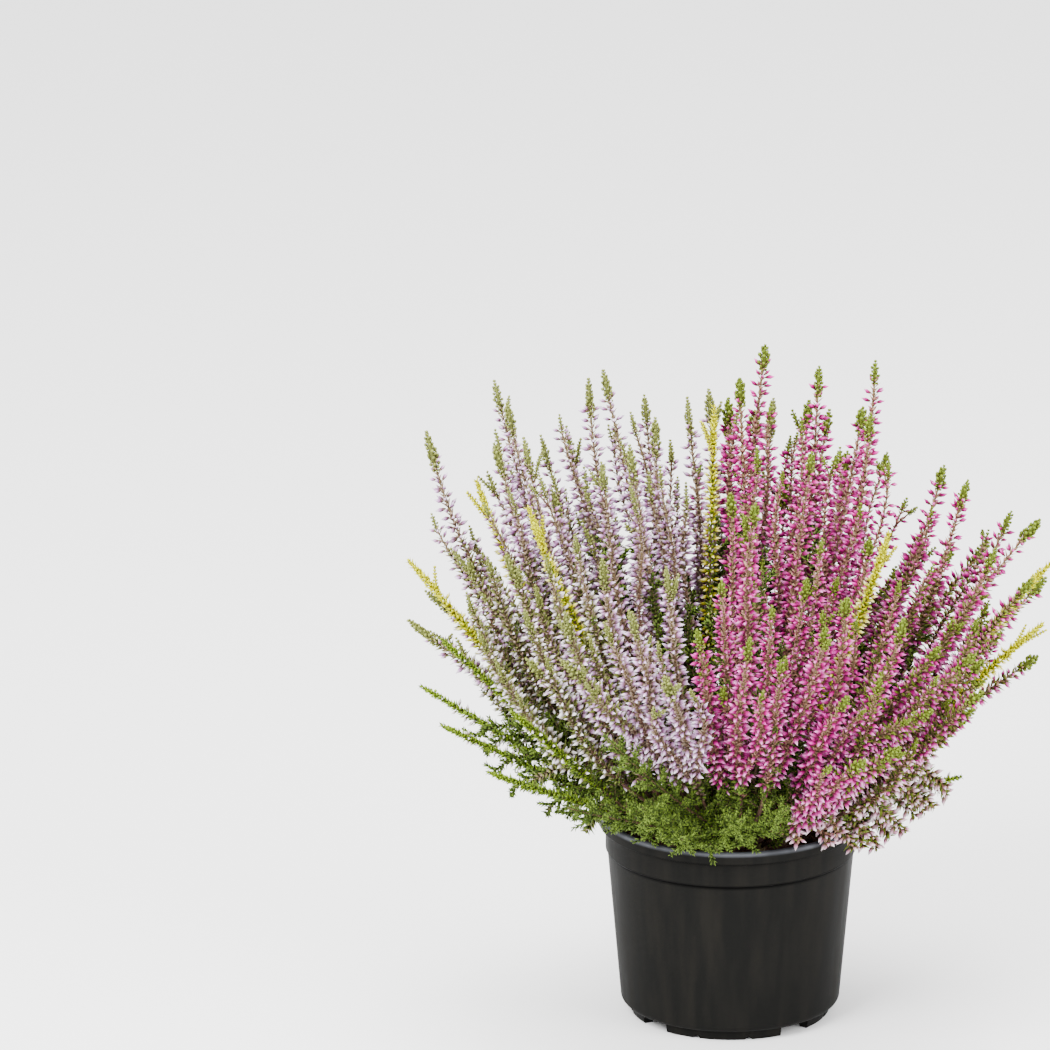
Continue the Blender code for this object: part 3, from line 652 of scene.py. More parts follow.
BLACK = srgb(0, 0, 0)


class Surface:
    """A material's node tree, with short calls to add and join nodes."""

    def __init__(self, name, roughness, specular):
        self.made = bpy.data.materials.new(name)
        self.made.use_nodes = True
        self.tree = self.made.node_tree
        self.shader = self.tree.nodes["Principled BSDF"]
        self.shader.inputs["Roughness"].default_value = roughness
        self.shader.inputs["Specular IOR Level"].default_value = specular

    def node(self, kind, **settings):
        """A new node with the given settings."""
        made = self.tree.nodes.new(kind)
        for key, value in settings.items():
            setattr(made, key, value)
        return made

    def join(self, source, target):
        """A link from an output to an input."""
        self.tree.links.new(source, target)

    def attribute(self, name):
        """One of the piece's own values a point."""
        return self.node("ShaderNodeAttribute", attribute_name=name).outputs["Fac"]

    def place(self):
        """The place on the object."""
        return self.node("ShaderNodeTexCoord").outputs["Object"]

    def noise(self, scale, detail=3.0, roughness=0.55):
        """Cloudy noise on the object's own places."""
        made = self.node("ShaderNodeTexNoise")
        made.inputs["Scale"].default_value = scale
        made.inputs["Detail"].default_value = detail
        made.inputs["Roughness"].default_value = roughness
        self.join(self.place(), made.inputs["Vector"])
        return made.outputs["Fac"]

    def ramp(self, factor, stops):
        """Colours along a factor, from (position, colour) stops."""
        made = self.node("ShaderNodeValToRGB")
        ramp = made.color_ramp
        while len(ramp.elements) < len(stops):
            ramp.elements.new(0.5)
        for element, (position, colour) in zip(ramp.elements, stops):
            element.position = position
            element.color = colour
        self.join(factor, made.inputs["Fac"])
        return made.outputs["Color"]

    def mix(self, factor, first, second):
        """The first colour led to the second by a factor."""
        made = self.node("ShaderNodeMix", data_type="RGBA")
        for source, target in ((factor, 0), (first, 6), (second, 7)):
            if isinstance(source, (int, float, tuple)):
                made.inputs[target].default_value = source
            else:
                self.join(source, made.inputs[target])
        return made.outputs[2]

    def ranged(self, value, low, high, to_low, to_high):
        """A value led from one range to another, held at both ends."""
        made = self.node("ShaderNodeMapRange")
        self.join(value, made.inputs["Value"])
        for label, number in (
            ("From Min", low), ("From Max", high), ("To Min", to_low), ("To Max", to_high)
        ):
            made.inputs[label].default_value = number
        return made.outputs["Result"]

    def tinted(self, colour, low, high):
        """A colour that the tint attribute makes darker or lighter, between two values."""
        lit = self.node("ShaderNodeHueSaturation")
        self.join(colour, lit.inputs["Color"])
        shade = self.ranged(self.attribute("tint"), 0.0, 1.0, low, high)
        self.join(shade, lit.inputs["Value"])
        return lit.outputs["Color"]

    def bump(self, height, strength, distance):
        """Fine relief from a height."""
        made = self.node("ShaderNodeBump")
        made.inputs["Strength"].default_value = strength
        made.inputs["Distance"].default_value = distance
        self.join(height, made.inputs["Height"])
        self.join(made.outputs["Normal"], self.shader.inputs["Normal"])

    def colour(self, output):
        """The surface's colour."""
        self.join(output, self.shader.inputs["Base Color"])


def bud_surface(name, calyx, strong, faded):
    """Closed buds: a tan calyx, then from the deep foot to the light tip.

    strong and faded are (deep, full, light) colours; the pale attribute leads from one to
    the other, and the tint attribute makes each bud a little lighter or darker.
    """
    skin = Surface(name, 0.6, 0.06)
    share = skin.attribute("along")
    rows = []
    for deep, full, light in (strong, faded):
        stops = ((0.0, calyx), (0.2, calyx), (0.32, deep), (0.58, full), (0.9, light))
        rows.append(skin.ramp(share, [(place, srgb(*colour)) for place, colour in stops]))
    mixed = skin.mix(skin.attribute("pale"), rows[0], rows[1])
    skin.colour(skin.tinted(mixed, 0.62, 1.15))
    skin.bump(skin.noise(2600.0), 0.25, 0.0002)
    return skin.made


def leaf_surface(name, colours, sheen):
    """Small leaves: dark at the foot, lighter and yellower at the tip, each a little other."""
    skin = Surface(name, 0.6, sheen)
    stops = [(place, srgb(*colour)) for place, colour in zip((0.0, 0.55, 1.0), colours)]
    ramp = skin.ramp(skin.attribute("along"), stops)
    skin.colour(skin.tinted(ramp, 0.75, 1.2))
    skin.bump(skin.noise(1800.0), 0.3, 0.0002)
    return skin.made


def bark_surface():
    """Thin woody stems: red-brown below, olive towards the tip, with fine lengthwise specks."""
    skin = Surface("heather_bark", 0.7, 0.3)
    run = skin.ramp(
        skin.attribute("along"),
        [(0.0, srgb(68, 46, 36)), (0.45, srgb(104, 72, 58)), (1.0, srgb(112, 104, 62))],
    )
    specks = skin.noise(900.0)
    skin.colour(skin.mix(skin.ranged(specks, 0.35, 0.7, 0.0, 0.6), run, srgb(52, 36, 30)))
    skin.bump(specks, 0.5, 0.0003)
    return skin.made


def pot_surface():
    """Thermoformed black plastic: faint upright flow marks, painted shade in dark lines under the
    rim and the ledge, and a painted light grey highlight along the lip."""
    skin = Surface("pot_plastic", 0.5, 0.015)
    mapping = skin.node("ShaderNodeMapping")
    mapping.inputs["Scale"].default_value = (1.0, 1.0, 0.12)
    skin.join(skin.place(), mapping.inputs["Vector"])
    flow = skin.node("ShaderNodeTexNoise")
    flow.inputs["Scale"].default_value = 160.0
    flow.inputs["Detail"].default_value = 4.0
    skin.join(mapping.outputs["Vector"], flow.inputs["Vector"])
    marks = flow.outputs["Fac"]
    wall = skin.mix(skin.ranged(marks, 0.4, 0.7, 0.0, 1.0), srgb(17, 17, 16), srgb(23, 22, 20))
    height = skin.node("ShaderNodeSeparateXYZ")
    skin.join(skin.place(), height.inputs["Vector"])
    level = height.outputs["Z"]
    # Painted shade: a dark band at the ledge and one just under the rim, where the undercuts lie in
    # shadow
    for line, spread in ((LEDGE_HEIGHT, 1.5 * MM), (RIM_UNDERSIDE - 0.3 * MM, 1.1 * MM)):
        over = skin.ranged(level, line, line + spread, 1.0, 0.0)
        under = skin.ranged(level, line - spread, line, 0.0, 1.0)
        wall = skin.mix(skin.mix(under, BLACK, over), wall, srgb(1, 1, 1))
    # Painted highlight: a light grey band along the top of the lip, dimmed in noise patches by
    # painted shade
    lip_highlight_mask = skin.ranged(level, RIM_TOP - 2.2 * MM, RIM_TOP - 0.9 * MM, 0.0, 1.0)
    highlight_patches = skin.ranged(skin.noise(34.0, 3.0), 0.35, 0.65, 0.0, 1.0)
    lip_highlight_colour = skin.mix(highlight_patches, srgb(44, 45, 48), srgb(84, 86, 91))
    skin.colour(skin.mix(lip_highlight_mask, wall, lip_highlight_colour))
    skin.join(skin.ranged(marks, 0.3, 0.7, 0.4, 0.55), skin.shader.inputs["Roughness"])
    skin.bump(skin.noise(700.0, 2.0), 0.08, 0.0004)
    return skin.made


def peat_surface():
    """Moist peat: near-black crumbs with red-brown fibres."""
    skin = Surface("peat_crumb", 0.9, 0.2)
    coarse = skin.noise(240.0, 6.0, 0.7)
    fine = skin.noise(1500.0, 4.0, 0.7)
    base = skin.ramp(
        coarse, [(0.3, srgb(30, 18, 14)), (0.5, srgb(56, 34, 27)), (0.72, srgb(96, 62, 46))]
    )
    skin.colour(skin.mix(skin.ranged(fine, 0.55, 0.75, 0.0, 0.7), base, srgb(128, 92, 68)))
    skin.bump(fine, 0.9, 0.0012)
    return skin.made


def outer_radius(height):
    """The tapered wall between the ledge and the wall's foot."""
    top = GROOVE_RADIUS - LEDGE_STEP - 0.1 * MM
    share = (height - WALL_FOOT_HEIGHT) / (LEDGE_HEIGHT - WALL_FOOT_HEIGHT)
    return WALL_FOOT_RADIUS + (top - WALL_FOOT_RADIUS) * share


def inner_radius(height):
    """The straight inner wall, a little thicker towards the floor."""
    top = outer_radius(LEDGE_HEIGHT) - WALL
    share = (height - FLOOR_TOP) / (LEDGE_HEIGHT - FLOOR_TOP)
    return INNER_FLOOR_RADIUS + (top - INNER_FLOOR_RADIUS) * share


def arc(middle, radius, start, end, count):
    """Points of a round in a profile, from one angle in degrees to another."""
    turn = np.radians(np.linspace(start, end, count))
    return np.stack([middle[0] + radius * np.cos(turn), middle[1] + radius * np.sin(turn)], axis=1)


def revolved(profile, steps):
    """A closed skin: a profile of (radius, height) from axis to axis, turned about Z."""
    turn = np.arange(steps) * math.tau / steps
    body = profile[1:-1]
    reach = body[:, :1]
    level = np.repeat(body[:, 1:], steps, axis=1)
    rings = np.stack([reach * np.cos(turn), reach * np.sin(turn), level], axis=-1)
    ends = np.array([[0.0, 0.0, profile[0, 1]], [0.0, 0.0, profile[-1, 1]]])
    points = np.concatenate([rings.reshape(-1, 3), ends])
    start = len(body) * steps
    return points, closed_skin(len(body), steps, start, start + 1)[:, ::-1]


def foot_mesh(middle):
    """One foot: a ring sector of blocks, its underside arched up over two round notches."""
    turn = middle + np.linspace(-0.5, 0.5, FOOT_STEPS) * FOOT_SPAN
    lift = np.zeros(FOOT_STEPS)
    for side in (-1, 1):
        off = (turn - middle - side * NOTCH_TURN) * FOOT_RADIUS
        lift = np.maximum(lift, np.sqrt(np.clip(NOTCH_RADIUS**2 - off**2, 0.0, None)))
    top = FOOT_HEIGHT + 0.3 * MM
    corner = 0.5 * MM
    section = [
        (FOOT_RADIUS + 0.6 * MM, top, 0.0),
        (FOOT_RADIUS + corner * 0.1, corner, 1.0),
        (FOOT_RADIUS - corner, 0.0, 1.0),
        (FOOT_RADIUS - FOOT_WIDTH + corner, 0.0, 1.0),
        (FOOT_RADIUS - FOOT_WIDTH, corner, 1.0),
        (FOOT_RADIUS - FOOT_WIDTH - 0.4 * MM, top, 0.0),
    ]
    rings = np.stack(
        [
            np.stack([r * np.cos(turn), r * np.sin(turn), z + lift * share], axis=1)
            for r, z, share in section
        ],
        axis=1,
    )
    size = len(section)
    inner = np.arange(1, size - 1)
    begin = np.stack([np.zeros(size - 2, int), inner, inner + 1], axis=1)
    last = (FOOT_STEPS - 1) * size
    end = np.stack([np.full(size - 2, last), last + inner + 1, last + inner], axis=1)
    faces = np.concatenate([skin_between(FOOT_STEPS, size)[:, ::-1], begin, end])
    return rings.reshape(-1, 3), faces


def drained(points, faces):
    """The pot's body with a round drain hole cut through its floor between each two feet."""
    body = mesh_piece("undrained_pot", points, faces, [], False)
    above = FLOOR_TOP + DRAIN_RADIUS
    below = FOOT_HEIGHT - DRAIN_RADIUS
    profile = np.array([[0.0, above], [DRAIN_RADIUS, above], [DRAIN_RADIUS, below], [0.0, below]])
    round_points, round_faces = revolved(profile, DRAIN_STEPS)
    turns = FOOT_TURN + (np.arange(FEET) + 0.5) * math.tau / FEET - math.pi / 2
    places = np.stack([np.cos(turns), np.sin(turns), np.zeros(FEET)], axis=1) * DRAIN_CIRCLE
    holes = (round_points[None] + places[:, None]).reshape(-1, 3)
    shift = (np.arange(FEET) * len(round_points))[:, None, None]
    cutter = mesh_piece("drain_holes", holes, (round_faces[None] + shift).reshape(-1, 3), [], False)
    cut = body.modifiers.new("drain", "BOOLEAN")
    cut.operation = "DIFFERENCE"
    cut.solver = "EXACT"
    cut.object = cutter
    solved = body.evaluated_get(bpy.context.evaluated_depsgraph_get()).to_mesh()
    solved.calc_loop_triangles()
    points = np.empty(3 * len(solved.vertices), np.float32)
    faces = np.empty(3 * len(solved.loop_triangles), np.int32)
    solved.vertices.foreach_get("co", points)
    solved.loop_triangles.foreach_get("vertices", faces)
    for made in (body, cutter):
        mesh = made.data
        bpy.data.objects.remove(made)
        bpy.data.meshes.remove(mesh)
    return points.reshape(-1, 3).astype(float), faces.reshape(-1, 3)


def make_pot():
    """The pot's turned profile with rounded edges, and its feet sunk into the floor's rim."""
    round_edge = 0.9 * MM
    lip_in = RIM_RADIUS - 2.4 * MM
    ledge_foot = outer_radius(LEDGE_HEIGHT)
    profile = np.concatenate(
        [
            [[0.0, FLOOR_TOP], [INNER_FLOOR_RADIUS - 2 * MM, FLOOR_TOP]],
            arc((INNER_FLOOR_RADIUS - 1.4 * MM, FLOOR_TOP + 1.4 * MM), 1.4 * MM, -90, -4, 5),
            [[inner_radius(level), level] for level in (30 * MM, 60 * MM, LEDGE_HEIGHT)],
            [[RIM_RADIUS - 3.2 * MM, RIM_TOP - 1.4 * MM]],
            arc((lip_in + 0.2 * MM, RIM_TOP - round_edge), round_edge, 180, 90, 6),
            arc((RIM_RADIUS - round_edge, RIM_TOP - round_edge), round_edge, 90, 0, 7),
            arc((RIM_RADIUS - 0.5 * MM, RIM_UNDERSIDE + 0.5 * MM), 0.5 * MM, 0, -80, 4),
            arc((GROOVE_RADIUS + 0.5 * MM, RIM_UNDERSIDE - 0.7 * MM), 0.5 * MM, 110, 180, 4),
            [[GROOVE_RADIUS - 0.15 * MM, 84 * MM]],
            arc((GROOVE_RADIUS - 0.6 * MM, LEDGE_HEIGHT + 1.0 * MM), 0.5 * MM, 0, -75, 4),
            arc((ledge_foot + 0.35 * MM, LEDGE_HEIGHT - 0.1 * MM), 0.35 * MM, 110, 180, 4),
            [[outer_radius(level), level] for level in (60 * MM, 40 * MM, 20 * MM)],
            arc((WALL_FOOT_RADIUS - 3.2 * MM, WALL_FOOT_HEIGHT), 3.2 * MM, 4, -78, 8),
            [[FOOT_RADIUS - FOOT_WIDTH, FOOT_HEIGHT], [0.0, FOOT_HEIGHT]],
        ]
    )
    growth = Growth()
    parts = [drained(*revolved(profile, POT_STEPS))]
    for foot in range(FEET):
        middle = FOOT_TURN + foot * math.tau / FEET - math.pi / 2
        parts.append(foot_mesh(middle))
    for points, faces in parts:
        growth.add_plain(points, faces)
    pot = growth.piece("heather_pot", [pot_surface()])
    pot.data.set_sharp_from_angle(angle=math.radians(50.0))
    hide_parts("pot")
    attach(pot, "root")
    return pot


def crumbs(x, y):
    """The height of the peat's crumbs: sines of growing pitch, turned and folded."""
    height = np.zeros_like(x)
    for pitch, size, turn in ((9.0, 0.5, 0.3), (5.0, 0.45, 1.2), (2.9, 0.4, 2.3), (1.7, 0.3, 0.8)):
        u = (x * math.cos(turn) + y * math.sin(turn)) / (pitch * MM) * math.tau
        v = (y * math.cos(turn) - x * math.sin(turn)) / (pitch * MM) * math.tau
        folded = np.abs(np.sin(u + 1.7 * np.sin(0.7 * v)))
        height += size * MM * folded * np.sin(v + 1.3 * np.sin(0.6 * u))
    return height


def make_peat():
    """The peat: a root ball whose top is a polar grid raised in crumbs."""
    base = FLOOR_TOP + 0.3 * MM
    corner = inner_radius(base + PEAT_FOOT) - PEAT_ROOM
    edge = inner_radius(PEAT_TOP) - PEAT_ROOM
    radii = np.linspace(0.0, edge, PEAT_RINGS)
    flat = np.interp(radii, [0, 20 * MM, 42 * MM, edge], [0.0, 0.4, -0.6, -2.5]) * MM + PEAT_TOP
    rows = np.stack([radii, flat], axis=1)
    wall = [
        [inner_radius(60 * MM) - PEAT_ROOM, 60 * MM],
        [corner, base + PEAT_FOOT],
        [corner - PEAT_FOOT, base],
        [0.0, base],
    ]
    points, faces = revolved(np.concatenate([rows, wall]), PEAT_STEPS)
    reach = np.hypot(points[:, 0], points[:, 1])
    inside = (points[:, 2] > PEAT_TOP - 4 * MM) & (reach < edge - 1e-6)
    points[:, 2] += np.where(inside, crumbs(points[:, 0], points[:, 1]), 0.0)
    growth = Growth()
    growth.add_plain(points, faces)
    peat = growth.piece("heather_peat", [peat_surface()])
    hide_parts("peat")
    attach(peat, "root")
    return peat


def over_rim(points, clear=RIM_ROOM):
    """Points of twigs near the pot's rim, lifted over it or kept outside it."""
    reach = np.hypot(points[..., 0], points[..., 1])
    near = (reach > RIM_RADIUS - INSIDE_RIM) & (reach < RIM_RADIUS + OUTSIDE_RIM)
    low = points[..., 2] < RIM_TOP + clear
    points[..., 2] = np.where(near & low, RIM_TOP + clear, points[..., 2])
    return points


def leafy(growth, points, ahead, kind, draw, size=1.0, lift=34.0, ring=LEAF_RING):
    """Small pointed leaves in turned rings at each of a row of points along shoots.

    points and ahead have the shape (shoots, levels, 3); leaves lean out by lift degrees and
    shrink at both ends of a shoot.
    """
    shoots, levels = points.shape[:2]
    side, other = across_of(ahead)
    turn = (
        np.arange(ring)[None, None] * math.tau / ring
        + (np.arange(levels) % 2)[None, :, None] * math.pi / ring
        + draw.uniform(0.0, math.tau, (shoots, 1, 1))
        + draw.uniform(-0.25, 0.25, (shoots, levels, ring))
    )[..., None]
    out = round_stem(turn, side[:, :, None], other[:, :, None])
    lean = np.radians(lift + draw.uniform(-9.0, 9.0, (shoots, levels, ring, 1)))
    aim = np.cos(lean) * ahead[:, :, None] + np.sin(lean) * out
    feet = points[:, :, None] + out * 0.25 * MM
    count = shoots * levels * ring
    aim = unit(aim.reshape(-1, 3))
    broad = unit(np.cross(aim, out.reshape(-1, 3)))
    taper = np.interp(np.linspace(0.0, 1.0, levels), [0.0, 0.2, 0.8, 1.0], [0.8, 1.0, 0.95, 0.7])
    scale = size * np.repeat(np.tile(taper, shoots), ring) * draw.uniform(0.8, 1.15, count)
    sizes = (LEAF_LENGTH * scale, 0.5 * LEAF_WIDTH * scale, 0.6 * LEAF_WIDTH * scale)
    tint = draw.uniform(0.0, 1.0, count)
    growth.place(LEAF, feet.reshape(-1, 3), aim, broad, sizes, kind, tint, np.zeros(count))


def leafy_line(growth, line, first, last, levels, kind, draw, size, lift, ring):
    """Leaves along a line between two shares of it."""
    points, ahead = along(line, np.linspace(first, last, levels))
    leafy(growth, points[None], ahead[None], kind, draw, size, lift, ring)


def side_shoots(growth, starts, aims, lengths, draw, size, core):
    """Short leafy side shoots: each point is start + reach (t aim + t squared / 2 rise).

    With a core they are thick green rods; without one they have a thin woody stem.
    """
    levels = max(4, round(float(np.mean(lengths)) / LEAF_LEVEL))
    t = np.linspace(0.04, 1.0, levels)[None, :, None]
    up = np.array([0.0, 0.0, 1.0])
    rise = up - np.sum(aims * up, axis=1, keepdims=True) * aims
    rise = (rise * draw.uniform(0.1, 0.6, (len(starts), 1)))[:, None]
    reach = lengths[:, None, None]
    points = over_rim(starts[:, None] + reach * (t * aims[:, None] + 0.5 * t**2 * rise))
    ahead = unit(aims[:, None] + t * rise)
    leafy(growth, points, ahead, LEAVES, draw, size)
    few = points[:, :: max(1, levels // 3)]
    if core > 0:
        thick = np.linspace(core, 0.6 * core, few.shape[1])
        growth.tubes(few, thick, 4, LEAVES, draw.uniform(0, 1, len(few)))
    else:
        thin = np.linspace(0.32, 0.2, few.shape[1]) * MM
        growth.tubes(few, thin, 3, BARK, np.full(len(few), 0.5))


def club(growth, line, colour, draw, size=1.0):
    """The green end of a spike: rings of young buds that stand out, close in at the tip.

    Their feet lie on a spread that is widest at a third of the way up; their lean falls
    from the bottom ring to the top one.
    """
    reach = CLUB_LENGTH[colour] * size * draw.uniform(0.8, 1.2)
    wide = CLUB_WIDTH[colour] * size * draw.uniform(0.85, 1.15)
    levels = max(5, round(reach / CLUB_LEVEL))
    shares = 1.0 - reach / length_of(line) * np.linspace(1.0, 0.02, levels)
    points, ahead = along(line, shares)
    side, other = across_of(ahead)
    shape = (levels, CLUB_RING)
    turn = (
        np.arange(CLUB_RING)[None] * math.tau / CLUB_RING
        + (np.arange(levels) % 2)[:, None] * math.pi / CLUB_RING
        + draw.uniform(-0.3, 0.3, shape)
    )[..., None]
    out = round_stem(turn, side[:, None], other[:, None])
    run = np.linspace(0.0, 1.0, levels)
    spread = np.interp(run, [0.0, 0.15, 0.4, 0.8, 1.0], [0.5, 0.8, 1.0, 0.8, 0.2]) * wide
    growth.tubes(points[None], CLUB_CORE * spread * 0.9, 5, CLUB, np.full(1, 0.1))
    spread = spread[:, None] * draw.uniform(0.75, 1.2, shape)
    lean = np.radians(np.interp(run, [0.0, 0.5, 1.0], [60.0, 46.0, 14.0]))[:, None, None]
    aim = np.cos(lean) * ahead[:, None] + np.sin(lean) * out
    foot = points[:, None] + out * (KNOB_FOOT * spread)[..., None]
    count = levels * CLUB_RING
    scale = (0.45 * wide + 0.6 * spread).reshape(-1)
    scale = np.maximum(scale, 0.5) * draw.uniform(0.85, 1.15, count)
    aim = unit(aim.reshape(-1, 3))
    broad = unit(np.cross(aim, out.reshape(-1, 3)))
    sizes = (KNOB_LENGTH * scale, 0.5 * KNOB_WIDTH * scale, 0.5 * KNOB_WIDTH * scale)
    tint = draw.uniform(0.0, 1.0, count)
    growth.place(KNOB, foot.reshape(-1, 3), aim, broad, sizes, CLUB, tint, np.zeros(count))


def skirt(points):
    """How far points lie in the plant's low outer skirt, from 0 to 1; less on its right."""
    out = np.clip((np.abs(points[:, 0]) - SKIRT_INNER) / (SKIRT_OUTER - SKIRT_INNER), 0.0, 1.0)
    low = np.clip((SKIRT_HIGH - points[:, 2]) / (SKIRT_HIGH - SKIRT_LOW), 0.0, 1.0)
    return out * low * np.where(points[:, 0] < 0, 1.0, SKIRT_RIGHT)


def moss(points):
    """How far points lie in the flowerless mossy ring over the rim's front left, from 0 to 1."""
    seen = points @ VIEW_UP
    low = np.clip((MOSS_HIGH - seen) / (MOSS_HIGH - MOSS_LOW), 0.0, 1.0)
    return low * ((points[:, 0] < MOSS_RIGHT) & (points[:, 1] < 0.0))


def flowers(
    growth, line, span, pale, draw,
    size=1.0, bare=BARE["pink"], pitch=WHORL_PITCH, leaf=1.75, kind=BUDS,
):
    """Whorls of pointed buds along a spike between two shares of it.

    A bud stands square to the stem, tipped up near the top and hanging a little below; its
    foot lies a little off the stem, and its size falls off at both ends. Bracts hold the
    stem. In the skirt the buds are paler and fewer, with green leaves between them.
    """
    whorls = max(3, round((span[1] - span[0]) * length_of(line) / pitch))
    points, ahead = along(line, np.linspace(span[0], span[1], whorls))
    side, other = across_of(ahead)
    run = np.linspace(0.0, 1.0, whorls)
    low = skirt(points)
    shape = (whorls, BUDS_A_WHORL)
    turn = (
        np.arange(BUDS_A_WHORL)[None] * math.tau / BUDS_A_WHORL
        + np.arange(whorls)[:, None] * math.pi / BUDS_A_WHORL
        + draw.uniform(-0.3, 0.3, shape)
    )[..., None]
    out = round_stem(turn, side[:, None], other[:, None])
    lean = np.interp(run, [0.0, 0.5, 1.0], [0.0, 14.0, 34.0])[:, None]
    lean = np.radians(lean + draw.uniform(-14.0, 14.0, shape))[..., None]
    hang = np.array([0.0, 0.0, -DROOP])
    aim = np.cos(lean) * out + np.sin(lean) * ahead[:, None] + hang
    step = draw.uniform(-0.17, 0.17, shape)[..., None] * pitch * ahead[:, None]
    foot = points[:, None] + out * BUD_FOOT + step
    grown = np.interp(run, [0.0, 0.12, 0.75, 1.0], [0.85, 1.0, 1.0, 0.86])[:, None]
    scale = (grown * size * draw.uniform(0.82, 1.12, shape)).reshape(-1)
    missing = np.interp(run, [0.0, 0.12, 0.75, 1.0], [max(0.4, bare), bare, bare, bare + 0.3])
    missing += (0.45 if kind == BUDS else 0.15) * low + 1.2 * moss(points)
    keep = draw.uniform(0.0, 1.0, scale.size) > np.repeat(missing, BUDS_A_WHORL)
    stem_way = ahead.repeat(BUDS_A_WHORL, axis=0)
    aim = unit(aim.reshape(-1, 3))[keep]
    fade = np.repeat(pale[0] + (pale[1] - pale[0]) * run + 0.5 * low, BUDS_A_WHORL)
    fade = np.clip(fade + draw.uniform(-0.25, 0.25, fade.size), 0.0, 1.0)[keep]
    scale = scale[keep]
    foot = foot.reshape(-1, 3)[keep]
    broad = unit(np.cross(aim, stem_way[keep]))
    sizes = (BUD_LENGTH * scale, 0.5 * BUD_WIDTH * scale, 0.5 * BUD_WIDTH * scale)
    tint = draw.uniform(0.0, 1.0, scale.size)
    growth.place(BUD, foot, aim, broad, sizes, kind, tint, fade)
    points, ahead = along(line, np.linspace(span[0], span[1], 2 * whorls))
    leafy(growth, points[None], ahead[None], BRACTS, draw, leaf * size, 38.0)
    for green, leaves in ((skirt(points) > 0.08, CLUB), (moss(points) > 0.3, LEAVES)):
        if np.count_nonzero(green) > 2:
            leafy(growth, points[None, green], ahead[None, green], leaves, draw, 2.2 * size, 52.0)


def bare_foot(growth, line, first, last, every, reach, draw, size=1.0, core=0.0):
    """Leafy side shoots round the lower part of a shoot, every so far along it."""
    length = length_of(line)
    count = max(2, round((last - first) * length / every))
    share = np.linspace(first, last, count) + draw.uniform(-0.3, 0.3, count) * every / length
    points, ahead = along(line, np.clip(share, 0.0, 1.0))
    side, other = across_of(ahead)
    turn = (np.arange(count) * 2.4 + draw.uniform(0.0, math.tau))[:, None]
    out = round_stem(turn, side, other)
    aims = unit(0.75 * ahead + 0.75 * out)
    low = points[:, 2] < PEAT_TOP + 9 * MM
    aims[low, 2] = np.abs(aims[low, 2])
    profile = np.interp(np.linspace(0.0, 1.0, count), [0.0, 0.3, 1.0], [0.8, 1.0, 0.55])
    lengths = reach * profile * draw.uniform(0.7, 1.2, count)
    side_shoots(growth, points, unit(aims), lengths, draw, size, core)


def stem(growth, line, thick, thin, draw):
    """A woody stem along a line, thinner towards its tip."""
    points, _ = along(line, np.linspace(0.0, STEM_END, STEM_STATIONS))
    radii = np.linspace(thick, thin, STEM_STATIONS) * MM
    growth.tubes(points[None], radii, 5, BARK, draw.uniform(0, 1, 1))


def twin_tip(growth, line, colour, draw, size):
    """A second, smaller green tip that leaves the spike a little under its end."""
    points, _ = along(line, np.linspace(0.88, 0.97, TWIN_STATIONS))
    turn = draw.uniform(0.0, math.tau)
    sideways = np.array([math.cos(turn), math.sin(turn), 0.1]) * draw.uniform(5.0, 8.0) * MM
    twin = points + np.linspace(0.0, 1.0, TWIN_STATIONS)[:, None] ** 1.3 * sideways
    thin = np.linspace(0.5, 0.3, TWIN_STATIONS) * MM
    growth.tubes(twin[None], thin, 5, BARK, np.full(1, 0.8))
    club(growth, twin, colour, draw, 0.72 * size)


def waved(line, draw, size):
    """A line with a slow wave added to it, nothing at its foot."""
    s = np.linspace(0.0, 1.0, len(line))[:, None]
    turn = draw.uniform(0.0, math.tau, 3)
    wave = np.sin(s * draw.uniform(7.0, 11.0) + turn) * np.array([1.0, 1.0, 0.0])
    return line + size * np.clip(3.0 * s, 0.0, 1.0) * wave


def spike(
    growth, line, colour, draw, size=1.0, start=FLOWER_FROM, club_size=1.0, faded=0.0, kind=BUDS
):
    """One flower spike: its stem, its whorls of buds and its green tip or tips."""
    stem(growth, line, 0.95 * size, 0.4 * size, draw)
    front_low = np.clip((PALE_HIGH - line[-1][2]) / (PALE_HIGH - PALE_LOW), 0.0, 1.0)
    own = draw.uniform(-0.12, 0.2) + faded
    if colour == "pink":
        low, high = 0.35 + 0.5 * front_low, 0.4 * front_low
    else:
        low, high = 0.95, 0.55
    end = 1.0 - 0.8 * CLUB_LENGTH[colour] * club_size / length_of(line)
    pale = (low + own, high + own)
    flowers(growth, line, (start, end), pale, draw, size, BARE[colour], kind=kind)
    club(growth, line, colour, draw, club_size)
    if draw.uniform() < 0.3:
        twin_tip(growth, line, colour, draw, club_size)


def hanging_line(parent, end):
    """A spray's line: a quadratic curve from low on its parent, over the rim and down to end."""
    start = along(parent, [0.16])[0][0]
    outward = unit(end[:2])
    over = np.array([*(outward * 0.8 * np.linalg.norm(end[:2])), max(end[2], RIM_TOP) + 20 * MM])
    return bent(start, over, end)


def arching_line(parent, end):
    """A quadratic curve that leaves its parent outwards and turns up to its end."""
    start = along(parent, [0.12])[0][0]
    over = start + (end - start) * np.array([0.72, 0.72, 0.3])
    return bent(start, over, end)


def bent(start, over, end):
    """A quadratic curve from start to end, drawn towards over, kept clear of the rim."""
    t = np.linspace(0.0, 1.0, SAMPLES)[:, None]
    line = (1 - t) ** 2 * start + 2 * t * (1 - t) * over + t**2 * end
    return over_rim(line, SPRAY_ROOM)


